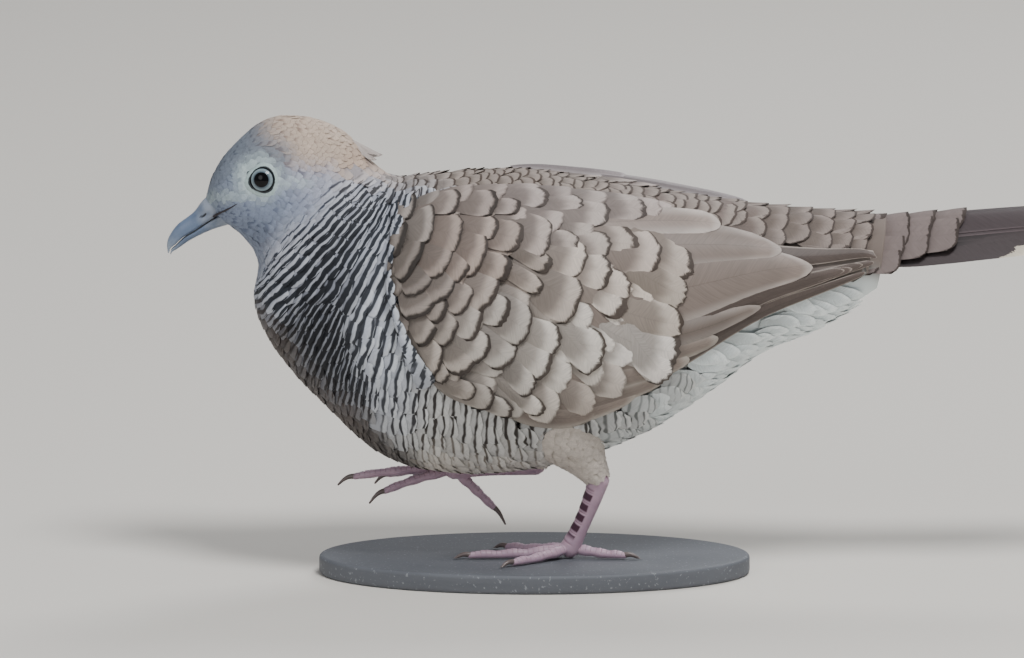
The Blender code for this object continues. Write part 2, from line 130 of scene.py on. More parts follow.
# Where the wing's rows meet its upper and lower edge (x, z), and its thickness there
WING_ROWS = (
    (-34, 74.5, -37, 56.5, 1), (-27, 77, -34, 48.5, 1.8), (-19, 78, -29, 39.5, 2.3),
    (-9.5, 78, -20.5, 34.1, 2.7), (0.5, 76.8, -12, 29.4, 2.8), (11.2, 75.1, -1, 29.8, 2.7),
    (21.4, 73, 11.5, 35.6, 2.5), (31.6, 70.7, 24.5, 42.6, 2.1), (41.8, 68, 38, 50.8, 1.7),
    (52, 66.4, 50.5, 56, 1.3), (60.3, 65.9, 59.6, 60, 0.9), (63.4, 64.4, 63.2, 62.7, 0.7),
)
WING_GAP, WING_EDGE = 0.45, 0.25
WING_LIFT = {"left": 0.0, "right": 1.1}
LIFTED_ROWS = (2.0, 9.0)

# The tail's ridge height, edge height and half width at each x
TAIL = (
    (52, 71.1, 60.4, 8.8), (58.5, 71.1, 60, 9.5), (65, 71.2, 59.6, 10.2), (70, 71.6, 60, 10.8),
    (77, 72.2, 61.2, 11.4), (85, 72.8, 62.6, 11.9), (94, 73.4, 64, 12.3), (102, 73.8, 65.3, 12.1),
    (110, 74.2, 66.9, 11.2), (118, 74.5, 68.8, 9.4), (125, 74.7, 70.6, 7.1),
    (130.5, 74.8, 72.2, 4.5), (133.5, 74.8, 73.4, 2),
)
TAIL_THICKNESS, TAIL_ARCH = 1.6, 1.45

# Hip, heel and foot, with y counted outwards
LEGS = {
    "left": ((-2.5, 8.6, 29.5), (5.4, 8, 16.9), (-0.6, 5, 1.9)),
    "right": ((-5, 8.4, 27.5), (-7.8, 8.6, 17), (-24.8, 7.4, 16.2)),
}
THIGH_RADII = (8.6, 7.2, 4.6, 2.8)

EYE_AT = (-64.4, 80.3)
EYE_RADIUS, EYE_STANDS_PROUD = 3.55, 1.2

# The view that the sides were measured in: from the left, this far above level, with heights
# counted from the standing foot
SEEN_FROM = math.radians(10)
SEEN_SHIFT = 5.0 * math.sin(SEEN_FROM)
CAMERA_DISTANCE = 2.5
VIEW_WIDTH = 213.333  # mm across the picture, level with the bird
VIEW_MIDDLE = (-12.7, 47.5)  # x and height seen from the side, in mm


def colour(code):
    """A hex sRGB colour as linear values."""
    parts = [int(code[i : i + 2], 16) / 255 for i in (0, 2, 4)]
    return tuple(p / 12.92 if p <= 0.04045 else ((p + 0.055) / 1.055) ** 2.4 for p in parts)


def colours_of(codes):
    """Several hex colours as one row of linear values."""
    return np.concatenate([colour(code) for code in codes])


def spline(table, at):
    """The rows of a table joined by a smooth curve, read at a fractional row number."""
    rows = np.asarray(table, float)
    last = len(rows) - 1
    for end, inner in ((0, 0.05), (last, last - 0.05)):
        if (at - end) * (inner - end) < 0:
            return rows[end] + (spline(table, inner) - rows[end]) / (inner - end) * (at - end)
    i = min(int(at), last - 1)
    t = at - i
    wide = np.concatenate([[2 * rows[0] - rows[1]], rows, [2 * rows[-1] - rows[-2]]])
    slopes = (wide[2:] - wide[:-2]) / 2
    return (
        rows[i] * (2 * t**3 - 3 * t**2 + 1)
        + slopes[i] * (t**3 - 2 * t**2 + t)
        + rows[i + 1] * (3 * t**2 - 2 * t**3)
        + slopes[i + 1] * (t**3 - t**2)
    )


def table_at(table, values, column):
    """A column of a table, read by straight lines at values of its first column."""
    rows = np.asarray(table, float)
    return np.interp(values, rows[:, 0], rows[:, column])


def smooth(low, high, values):
    """0 below low and 1 above high, with a soft step between."""
    t = np.clip((np.asarray(values, float) - low) / (high - low), 0, 1)
    return t * t * (3 - 2 * t)


def unit(vectors):
    return vectors / np.maximum(np.linalg.norm(vectors, axis=-1, keepdims=True), 1e-9)


def round_turns(count):
    """Equal turns once round, in radians."""
    return np.linspace(0, 2 * math.pi, count + 1)[:-1]


def circle(turns, first, second):
    """Ways out from a circle's middle at these turns, between two directions."""
    first, second = np.asarray(first, float), np.asarray(second, float)
    return np.cos(turns)[:, None] * first + np.sin(turns)[:, None] * second


def ring_round(axis, hint, turns):
    """A circle of radius 1 round an axis, from a turn of 0 square to it and to the hint."""
    first = unit(np.cross(axis, hint))
    return circle(turns, first, np.cross(axis, first))


def quads(index):
    """The faces of a grid of point numbers."""
    corners = index[:-1, :-1], index[1:, :-1], index[1:, 1:], index[:-1, 1:]
    return np.stack(corners, -1).reshape(-1, 4)


def ring_faces(count, size, closed=False):
    """The faces between rings of points that follow each other, and the last to the first."""
    index = np.arange(count * size).reshape(count, size)
    return quads(np.pad(index, ((0, int(closed)), (0, 1)), mode="wrap"))[:, [0, 3, 2, 1]].tolist()


def metric(da, db):
    """How a surface with these two slopes is stretched: (aa, ab, bb, determinant)."""
    aa, ab, bb = (da * da).sum(-1), (da * db).sum(-1), (db * db).sum(-1)
    return aa, ab, bb, np.maximum(aa * bb - ab * ab, 1e-9)


def side_view(points):
    """x and height of points as they are seen from the side that they are on."""
    tilt = np.abs(points[..., 1]) * math.sin(SEEN_FROM)
    height = points[..., 2] * math.cos(SEEN_FROM) + SEEN_SHIFT - tilt
    return np.stack([points[..., 0], height], -1)


def nearness(points, places, sharpness):
    """How much each place (x, height, reach) counts at points, as seen from the side."""
    places = np.asarray(places, float)
    apart = ((side_view(points)[:, None] - places[:, :2]) ** 2).sum(-1)
    weight = np.exp(-sharpness * apart / places[:, 2] ** 2) + 1e-9 / (1 + apart)
    return weight / weight.sum(axis=1, keepdims=True)


BASE_LOW, BASE_HIGH = (np.array(corner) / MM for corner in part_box("stand_base"))
# From the design's origin to the frame's, in mm, by where the stone base is
SHIFT = np.array((*(BASE_LOW + BASE_HIGH)[:2] / 2 + (8.0, 0.0), BASE_HIGH[2] + 0.3))


# Surfaces that feathers lie on


def body_points(at, turns, grow):
    """Points of the body's section across one chord. A turn of 0 is its top and pi its bottom."""
    top_x, top_z, bottom_x, bottom_z, half_width = spline(BODY_CHORDS, at)
    top, bottom = np.array((top_x, 0, top_z)), np.array((bottom_x, 0, bottom_z))
    height = np.linalg.norm(top - bottom)
    up = (top - bottom) / height
    middle = bottom + up * height * WIDEST_AT
    cos, sin = np.cos(turns), np.sin(turns)
    half = np.where(cos > 0, 1 - WIDEST_AT, WIDEST_AT) * height + grow
    along = np.sign(cos) * np.abs(cos) ** (2 / SQUARENESS) * half
    across = np.sign(sin) * np.abs(sin) ** (2 / SQUARENESS) * (half_width + grow)
    return middle + along[:, None] * up + across[:, None] * np.array((0, 1.0, 0))


class Lie:
    """A surface as a grid of points, read at places that run from 0 to 1 both ways."""

    def __init__(self, name, points, a_range, b_range, outward):
        self.name = name
        self.points = np.asarray(points, float)
        self.a_range, self.b_range = a_range, b_range
        ahead, across = np.gradient(self.points, axis=(0, 1))
        self.normals = unit(np.cross(ahead, across))
        na, nb = self.points.shape[:2]
        if np.dot(self.normals[na // 2, nb // 2], outward) < 0:
            self.normals = -self.normals

    def places(self, a, b):
        """Places from 0 to 1 of these readings of the surface's own two measures."""
        (a0, a1), (b0, b1) = self.a_range, self.b_range
        return np.stack([(np.asarray(a) - a0) / (a1 - a0), (np.asarray(b) - b0) / (b1 - b0)], -1)

    def read(self, grid, places):
        """A grid's values at places."""
        na, nb = grid.shape[:2]
        x = np.clip(places[..., 0], 0, 1) * (na - 1)
        y = np.clip(places[..., 1], 0, 1) * (nb - 1)
        i, j = np.minimum(x.astype(int), na - 2), np.minimum(y.astype(int), nb - 2)
        u, v = (x - i)[..., None], (y - j)[..., None]
        near = grid[i, j] * (1 - v) + grid[i, j + 1] * v
        far = grid[i + 1, j] * (1 - v) + grid[i + 1, j + 1] * v
        return near * (1 - u) + far * u

    def at(self, places):
        return self.read(self.points, places)

    def normal(self, places):
        return unit(self.read(self.normals, places))

    def steps(self, places, ways):
        """How the places change for these steps in millimetres along the surface."""
        e = 1e-3
        da = (self.at(places + (e, 0)) - self.at(places - (e, 0))) / (2 * e)
        db = (self.at(places + (0, e)) - self.at(places - (0, e))) / (2 * e)
        aa, ab, bb, det = metric(da, db)
        wa, wb = (da * ways).sum(-1), (db * ways).sum(-1)
        return np.stack([(wa * bb - wb * ab) / det, (wb * aa - wa * ab) / det], -1)

    def closest(self, apart):
        """The place of the grid's point for which this vector is shortest."""
        na, nb = apart.shape[:2]
        i, j = np.unravel_index(np.argmin((apart**2).sum(-1)), (na, nb))
        return np.array((i / (na - 1), j / (nb - 1)))

    def nearest(self, x, height):
        """The place that is seen from the side at this x and height."""
        target = np.array((x, height))
        place = self.closest(side_view(self.points) - target)
        e = 0.004
        for _ in range(4):
            ahead, back = (side_view(self.at(place + d * np.eye(2))) for d in (e, -e))
            missed = target - side_view(self.at(place))
            step = np.linalg.lstsq((ahead - back).T / (2 * e), missed, rcond=None)[0]
            place = place + np.clip(step, -0.03, 0.03)
        return place

    def build(self):
        """A hidden object of the surface, with its places and normals, for the node tree."""
        na, nb = self.points.shape[:2]
        faces = quads(np.arange(na * nb).reshape(na, nb))
        data = mesh_of(self.name, self.points.reshape(-1, 3), faces)
        places = np.meshgrid(np.linspace(0, 1, na), np.linspace(0, 1, nb), indexing="ij")
        spread_map(data, np.stack(places, -1).reshape(-1, 2), "place")
        put(data, "out", self.normals.reshape(-1, 3))
        self.object = helper_of(self.name, data)
        return self


def mesh_of(name, points, faces):
    """A mesh from points in design millimetres."""
    data = bpy.data.meshes.new(name)
    points = (np.asarray(points, float) + SHIFT) * MM
    data.from_pydata(points.tolist(), [], [list(map(int, face)) for face in faces])
    data.update()
    return data


def object_of(name, data, material=None):
    """An object of a mesh, in the scene."""
    made = bpy.data.objects.new(name, data)
    bpy.context.scene.collection.objects.link(made)
    if material:
        data.materials.clear()
        data.materials.append(material)
    return made


def helper_of(name, data):
    """A hidden object that the pieces are made with."""
    made = object_of(name, data)
    made.hide_render = made[HELPER] = True
    return made


def closed_piece(slot, node, name, solid, material, **attributes):
    """A finished piece from a closed (points, faces), with its faces turned outwards."""
    data = mesh_of(name, *solid)
    mesh = bmesh.new()
    mesh.from_mesh(data)
    bmesh.ops.recalc_face_normals(mesh, faces=mesh.faces)
    mesh.to_mesh(data)
    mesh.free()
    data.shade_smooth()
    for key, values in attributes.items():
        put(data, key, values)
    return place(object_of(name, data, material), slot, *node)


def spread_map(data, places, name="OFBake"):
    """A UV map by the place of each point, from 0 to 1."""
    loops = np.empty(len(data.loops), np.int32)
    data.loops.foreach_get("vertex_index", loops)
    layer = data.uv_layers.new(name=name)
    layer.data.foreach_set("uv", places[loops].astype(np.float32).ravel())


def body_lie():
    a_range, b_range = (-0.8, LAST_CHORD + 1.2), (-0.15, 1.15)
    turns = np.linspace(*b_range, 240) * 2 * math.pi
    chords = np.linspace(*a_range, 260)
    rows = [body_points(a, turns, -table_at(COAT_DEPTH, a, 1)) for a in chords]
    return Lie("lie_body", rows, a_range, b_range, (0, 0, -1))


@cache
def body_tree():
    """The plumage's outer surface, to lay the wings on."""
    chords, turns = np.linspace(0, LAST_CHORD, 200), round_turns(128)
    points = [Vector(p) for a in chords for p in body_points(a, turns, 0.0)]
    return BVHTree.FromPolygons(points, ring_faces(len(chords), len(turns)))


def on_body(tree, x, z, side):
    """(place, outward normal) on the plumage's outer surface. Off its edge, the edge is used."""
    for step in np.arange(0, 12, 0.4):
        for sign in (-1, 1):
            place, normal, _, _ = tree.ray_cast(
                Vector((x, side * 60.0, z + sign * step)), Vector((0, -side, 0))
            )
            if place is not None:
                normal = normal if normal.y * side > 0 else -normal
                return np.array((place.x, place.y, z)), np.array(normal)
    raise ValueError(f"nothing to lay the wing on at {x:.1f}, {z:.1f}")


def wing_lie(side):
    """The bed that a wing's feathers lie on, a little under its outer surface."""
    sign, tree = SIDES[side], body_tree()
    a_range, b_range = (-0.5, 11.4), (-0.08, 1.12)
    start, end = LIFTED_ROWS
    grid = []
    for row in np.linspace(*a_range, 110):
        top_x, top_z, low_x, low_z, thickness = spline(WING_ROWS, row)
        share = np.clip((row - start) / (end - start), 0.0, 1.0)
        raised = WING_LIFT[side] * math.sin(math.pi * share) ** 0.7
        top_z += raised
        line = []
        for b in np.linspace(*b_range, 72):
            if b < 0:
                # over the edge it follows the back towards the middle
                edge, _ = on_body(tree, top_x, top_z, sign)
                x = top_x + (low_x - top_x) * b
                above = Vector((x, sign * max(abs(edge[1]) + 45 * b, 0.4), 150.0))
                place, normal, _, _ = tree.ray_cast(above, Vector((0, 0, -1)))
                place, normal = np.array(place), np.array(normal) * np.sign(normal.z)
            else:
                x, z = top_x + (low_x - top_x) * b, top_z + (low_z - top_z) * b
                place, normal = on_body(tree, x, z, sign)
            inner = np.clip(b, 0.0, 1.0)
            swell = WING_EDGE + (1 - WING_EDGE) * math.sin(math.pi * inner) ** 0.5
            gap = WING_GAP + 0.3 * raised * (1 - inner) ** 3
            height = gap + max(thickness * swell - 1.0, 0.15)
            height += (-0.5 - height) * smooth(0.0, 0.08, -b)
            line.append(place + normal * height)
        grid.append(line)
    return Lie("lie_wing_" + side, grid, a_range, b_range, (0, sign, 0))


def tail_lie():
    a_range, b_range = (-0.4, len(TAIL) - 0.6), (-1.25, 1.25)
    shares = np.linspace(*b_range, 60)
    grid = []
    for at in np.linspace(*a_range, 120):
        x, ridge, edge, half_width = spline(TAIL, at)
        fall = (ridge - edge - TAIL_THICKNESS) * np.abs(shares) ** TAIL_ARCH
        grid.append(np.stack([0 * shares + x, shares * half_width, ridge - fall - 1.0], -1))
    return Lie("lie_tail", grid, a_range, b_range, (0, 0, 1))


def leg_joints(side):
    """The hip, heel and foot of one leg."""
    return [np.array((x, SIDES[side] * y, z)) for x, y, z in LEGS[side]]


def thigh_lie(side):
    """A tube's outside, with its second measure running once round from the bird's outer side."""
    a_range, b_range = (0.0, 1.0), (-0.15, 1.15)
    hip, heel, _ = leg_joints(side)
    inner = np.array((0.0, -SIDES[side], 0.0))
    ahead = unit(heel - hip)
    front = unit(inner - ahead * np.dot(inner, ahead))
    turns = np.linspace(*b_range, 60) * 2 * math.pi
    knots = np.linspace(0, 1, 12)
    radii = [spline(THIGH_RADII, t) - 1.0 for t in np.linspace(-0.3, 3.1, 12)]
    grid = []
    for a in np.linspace(*a_range, 60):
        centre = hip + (heel - hip) * (-0.1 + 1.16 * a)
        radius = np.interp(a, knots, radii)
        grid.append(centre + radius * circle(turns, -front, np.cross(ahead, front)))
    return Lie("lie_thigh_" + side, grid, a_range, b_range, inner)


# The node tree that lays vanes, and the vanes


class Value:
    """A node's output. Sums of it add the nodes they need."""

    def __init__(self, nodes, socket):
        self.nodes, self.socket = nodes, socket


def add_sum(name, operation):
    def forward(self, other):
        return self.nodes.math(operation, self, other)

    def backward(self, other):
        return self.nodes.math(operation, other, self)

    setattr(Value, f"__{name}__", forward)
    setattr(Value, f"__r{name}__", backward)


for given in (("add", "ADD"), ("sub", "SUBTRACT"), ("mul", "MULTIPLY"), ("truediv", "DIVIDE")):
    add_sum(*given)


class Nodes:
    """Short ways of adding nodes to a tree."""

    def __init__(self, tree):
        self.tree = tree
        self.column = 0

    def add(self, kind, **settings):
        node = self.tree.nodes.new(kind)
        self.column += 1
        node.location = (180 * (self.column % 12), -220 * (self.column // 12))
        for key, value in settings.items():
            setattr(node, key, value)
        return node

    def plug(self, socket, value):
        value = getattr(value, "socket", value)
        if isinstance(value, bpy.types.NodeSocket):
            self.tree.links.new(value, socket)
        else:
            socket.default_value = value

    def fed(self, kind, inputs=(), output=0, **settings):
        """An output of a new node, by what goes into its inputs and how it is set."""
        node = self.add(kind, **settings)
        for key, value in inputs.items() if isinstance(inputs, dict) else enumerate(inputs):
            self.plug(node.inputs[key], value)
        return Value(self, node.outputs[output])

    def math(self, operation, *values):
        return self.fed("ShaderNodeMath", values, operation=operation)

    def vector(self, operation, *values):
        return self.fed("ShaderNodeVectorMath", values, operation=operation)

    def scaled(self, vector, scale):
        inputs = {0: vector, "Scale": scale}
        return self.fed("ShaderNodeVectorMath", inputs, operation="SCALE")

    def split(self, vector):
        node = self.add("ShaderNodeSeparateXYZ")
        self.plug(node.inputs[0], vector)
        return [Value(self, socket) for socket in node.outputs]

    def join(self, x, y, z=0.0):
        return self.fed("ShaderNodeCombineXYZ", (x, y, z))

    def ramp(self, value, low, high, start=0.0, end=1.0):
        """A soft step of value from low to high, as a number from start to end."""
        inputs = {"Value": value, "From Min": low, "From Max": high, "To Min": start, "To Max": end}
        return self.fed("ShaderNodeMapRange", inputs, interpolation_type="SMOOTHSTEP")

    def noise(self, vector, scale, detail):
        inputs = {"Vector": vector, "Scale": scale, "Detail": detail}
        return self.fed("ShaderNodeTexNoise", inputs)

    def mix(self, factor, a, b, blend="MIX"):
        """Two colours mixed. Each is an output, a hex code or three values."""
        inputs = {"Factor": factor}
        for key, value in ((6, a), (7, b)):
            if not isinstance(value, Value):
                value = (*(colour(value) if isinstance(value, str) else value), 1.0)
            inputs[key] = value
        return self.fed("ShaderNodeMix", inputs, 2, data_type="RGBA", blend_type=blend)

    def field(self, name, output="Vector"):
        """An attribute of the mesh."""
        return self.fed("ShaderNodeAttribute", output=output, attribute_name=name)

    def here(self):
        return self.fed("ShaderNodeTexCoord", output="Object")


def new_group(name, kind, inputs, outputs):
    """The nodes of a new group. A socket is given by its kind, or by its value if it's a float."""
    tree = bpy.data.node_groups.new(name, kind)
    for way, sockets in (("INPUT", inputs), ("OUTPUT", outputs)):
        for label, given in sockets.items():
            plain = isinstance(given, float)
            socket_type = "NodeSocket" + ("Float" if plain else given)
            socket = tree.interface.new_socket(label, in_out=way, socket_type=socket_type)
            if plain:
                socket.default_value = given
    return Nodes(tree)


def vane_tree():
    """Lays the vane at each point on the lie, by the point's root and ways, as one mesh."""
    inputs = {"Geometry": "Geometry", "Vane": "Object", "Lie": "Object", "Material": "Material"}
    inputs.update({"Frayed share": 0.1, "Fray waves": 3.0})
    n = new_group("Lay vanes", "GeometryNodeTree", inputs, {"Geometry": "Geometry"})
    given = n.add("NodeGroupInput").outputs

    def read(name, kind="FLOAT_VECTOR"):
        attribute = "GeometryNodeInputNamedAttribute"
        return n.fed(attribute, {"Name": name}, "Attribute", data_type=kind)

    def geometry_of(name):
        inputs = {"Object": given[name]}
        return n.fed("GeometryNodeObjectInfo", inputs, "Geometry", transform_space="ORIGINAL")

    def sample(value):
        inputs = {"Mesh": geometry_of("Lie"), "Value": value}
        inputs.update({"Source UV Map": read("place"), "Sample UV": place})
        return n.fed("GeometryNodeSampleUVSurface", inputs, "Value", data_type="FLOAT_VECTOR")

    points = {"Points": given["Geometry"], "Instance": geometry_of("Vane")}
    real = n.fed("GeometryNodeRealizeInstances", [n.fed("GeometryNodeInstanceOnPoints", points)])
    ahead, aside, thick = n.split(read("spot"))
    t, _, _ = n.split(read("vane"))
    base, rise, lift = n.split(read("stack"))
    camber, roll, bow = n.split(read("bend"))
    seed = read("seed", "FLOAT")
    fray = n.noise(n.join(t * given["Fray waves"], seed * 37.0), 1.0, 2.0)
    cut = fray * given["Frayed share"] * n.ramp(ahead, 0.45, 1.0)
    reach = ahead * (1.0 - cut)
    square = reach * reach
    aside = aside + bow * square
    place = n.vector("ADD", read("root"), n.scaled(read("along"), reach))
    place = n.vector("ADD", place, n.scaled(read("across"), aside))
    place = n.vector("MINIMUM", place, (0.9995, 0.9995, 0.0))
    place = n.vector("MAXIMUM", place, (0.0005, 0.0005, 0.0))
    height = base + rise * reach + lift * square * reach
    height = height + camber * (1.0 - t * t) * (0.35 + 0.65 * reach) + roll * aside
    height = (height + thick) * MM
    ground = sample(n.fed("GeometryNodeInputPosition"))
    outward = n.vector("NORMALIZE", sample(read("out")))
    where = n.vector("ADD", ground, n.scaled(outward, height))
    moved = n.fed("GeometryNodeSetPosition", {"Geometry": real, "Position": where})
    finish = {"Geometry": moved, "Material": given["Material"]}
    n.plug(n.add("NodeGroupOutput").inputs[0], n.fed("GeometryNodeSetMaterial", finish))
    return n.tree


def vane_shape(name, columns, rows, tip_from, square, widths, thickness, two_sheets, shaft):
    """A closed vane. Its spot is how far along and across a point is and its height, and its
    vane is the share across, how far short of the tip it is, and how far along."""
    t = np.linspace(-1, 1, columns + 1)
    end = (1 - square) * (1 - np.sqrt(1 - 0.97 * t**2)) + square * (0.35 * t**2 + 0.65 * t**6)
    end = 1 - (1 - tip_from) * end
    share = np.linspace(0, 1, rows + 1)[:, None]
    s = share * end
    across = t * np.interp(s, np.linspace(0, 1, len(widths)), widths)
    dome = (1 - t**2) * np.sqrt(np.clip(1 - share**6, 0, 1))
    inside = (np.abs(t) < 0.999) & (share > 0) & (share < 1)
    rib = shaft * np.exp(-((t / 0.12) ** 2)) * (1 - 0.6 * share)
    tall = np.where(inside, thickness * dome + rib, 0)
    spots = [np.stack([s, across, tall], -1).reshape(-1, 3)]
    vanes = [np.stack([np.broadcast_to(t, s.shape), end - s, s], -1).reshape(-1, 3)]
    index = np.arange(s.size).reshape(s.shape)
    faces = quads(index).tolist()
    round_edge = [*index[0, ::-1], *index[1:, 0], *index[-1, 1:], *index[-2:0:-1, -1]]
    round_edge = [int(corner) for corner in round_edge]
    if two_sheets:
        lower = index.copy()
        lower[inside] = s.size + np.arange(inside.sum())
        spots.append(np.stack([s, across, -0.5 * thickness * dome], -1)[inside])
        vanes.append(vanes[0].reshape(*s.shape, 3)[inside])
        faces += quads(lower)[:, [0, 3, 2, 1]].tolist()
    else:
        faces.append(round_edge[::-1])
    data = bpy.data.meshes.new(name)
    spots, vanes = np.concatenate(spots), np.concatenate(vanes)
    data.from_pydata(spots.tolist(), [], faces)
    data.shade_smooth()
    if not two_sheets:
        data.polygons[-1].use_smooth = False
    put(data, "spot", spots)
    put(data, "vane", vanes)
    rim = {frozenset(pair) for pair in zip(round_edge, round_edge[1:] + round_edge[:1])}
    sharp = data.attributes.new("sharp_edge", "BOOLEAN", "EDGE")
    sharp.data.foreach_set("value", [frozenset(edge.vertices) in rim for edge in data.edges])
    return helper_of(name, data)


def put(data, name, values):
    """A mesh attribute with these values, a number or a vector for each point."""
    values = np.asarray(values, np.float32)
    kind, field = ("FLOAT", "value") if values.ndim == 1 else ("FLOAT_VECTOR", "vector")
    data.attributes.new(name, kind, "POINT").data.foreach_set(field, values.ravel())


def taken(data, name="position"):
    """A vector attribute of a mesh's points."""
    values = np.empty(len(data.vertices) * 3, np.float32)
    data.attributes[name].data.foreach_get("vector", values)
    return values.reshape(-1, 3).astype(float)


class Coat:
    """The feathers of one piece, gathered before they are laid on its lie."""

    def __init__(self, lie, seed):
        self.lie = lie
        self.random = np.random.default_rng(seed)
        self.columns = {}

    def add(self, **values):
        """Feathers by their roots, ways, sizes and markings. A tuple gives the parts of a vector,
        each one number for all or one for each feather."""
        count = len(values["root"])
        for key, value in values.items():
            if isinstance(value, tuple):
                value = np.stack([np.broadcast_to(part, count) for part in value], -1)
            self.columns.setdefault(key, []).append(value)

    def thin(self, keep):
        """Keeps some of the feathers that were added at once."""
        self.columns = {key: [parts[0][keep]] for key, parts in self.columns.items()}

    def grow(self, lie, tip, normal, ahead, length, half, reach, mirror=1.0, **values):
        """Feathers by the place of their tips, the way they grow there and their sizes."""
        aside = np.cross(normal, ahead)
        along = lie.steps(tip, ahead * np.reshape(length, (-1, 1)))
        across = lie.steps(tip, aside * np.reshape(half, (-1, 1))) * mirror
        size = (length, half, reach)
        self.add(root=tip - along, along=along, across=across, size=size, **values)

    def lay(self, name, vane, material, frayed, waves, slot, *nodes, barred=None):
        """One plain piece of all the feathers. barred gives the bars that run on between them."""
        arrays = {key: np.concatenate(parts) for key, parts in self.columns.items()}
        data = bpy.data.meshes.new(name + "_roots")
        data.from_pydata([(0, 0, 0)] * len(arrays["root"]), [], [])
        for key, values in arrays.items():
            flat = key in ("root", "along", "across")
            put(data, key, np.pad(values, ((0, 0), (0, 1))) if flat else values)
        roots = object_of(name + "_roots", data)
        modifier = roots.modifiers.new("Lay vanes", "NODES")
        tree = modifier.node_group = bpy.data.node_groups.get("Lay vanes") or vane_tree()
        vane = the_vane(vane)
        settings = {"Vane": vane, "Lie": self.lie.object, "Material": material}
        settings.update({"Frayed share": frayed, "Fray waves": waves})
        for item in tree.interface.items_tree:
            if item.in_out == "INPUT" and item.name in settings:
                modifier[item.identifier] = settings[item.name]
        graph = bpy.context.evaluated_depsgraph_get()
        laid = bpy.data.meshes.new_from_object(roots.evaluated_get(graph), depsgraph=graph)
        bpy.data.objects.remove(roots)
        laid.name = name
        self.bake_map(laid, arrays["root"], len(vane.data.vertices))
        if barred and barred.lie is self.lie:
            parts = (taken(laid, key)[:, :2] for key in ("root", "along", "across", "spot"))
            root, along, across, spot = parts
            places = root + along * spot[:, :1] + across * spot[:, 1:]
            put(laid, "bars", self.lie.read(barred.values, places))
        elif barred:
            put(laid, "bars", barred.read(taken(laid) / MM - SHIFT))
        for key in ("spot", "root", "along", "across", "stack", "bend"):
            laid.attributes.remove(laid.attributes[key])
        place(object_of(name, laid, material), slot, *nodes)

    def bake_map(self, laid, roots, corners):
        """A patch for each feather at its root's place, as large as its neighbours allow."""
        low, high = roots.min(axis=0), roots.max(axis=0)
        spots = 0.03 + 0.94 * (roots - low) / np.maximum(high - low, 1e-6)
        room = np.full(len(spots), 0.2)
        for start in range(0, len(spots), 400):
            apart = np.abs(spots[start : start + 400, None] - spots[None]).max(axis=-1)
            apart[np.arange(len(apart)), np.arange(start, start + len(apart))] = 1
            room[start : start + 400] = apart.min(axis=1)
        room = np.clip(0.45 * room, 0.003, 0.03)
        vane = taken(laid, "vane")
        feather = np.arange(len(vane)) // corners
        offset = np.stack([vane[:, 0] / 2, vane[:, 2] - 0.5], -1) * room[feather][:, None]
        spread_map(laid, spots[feather] + offset)


# Finishes


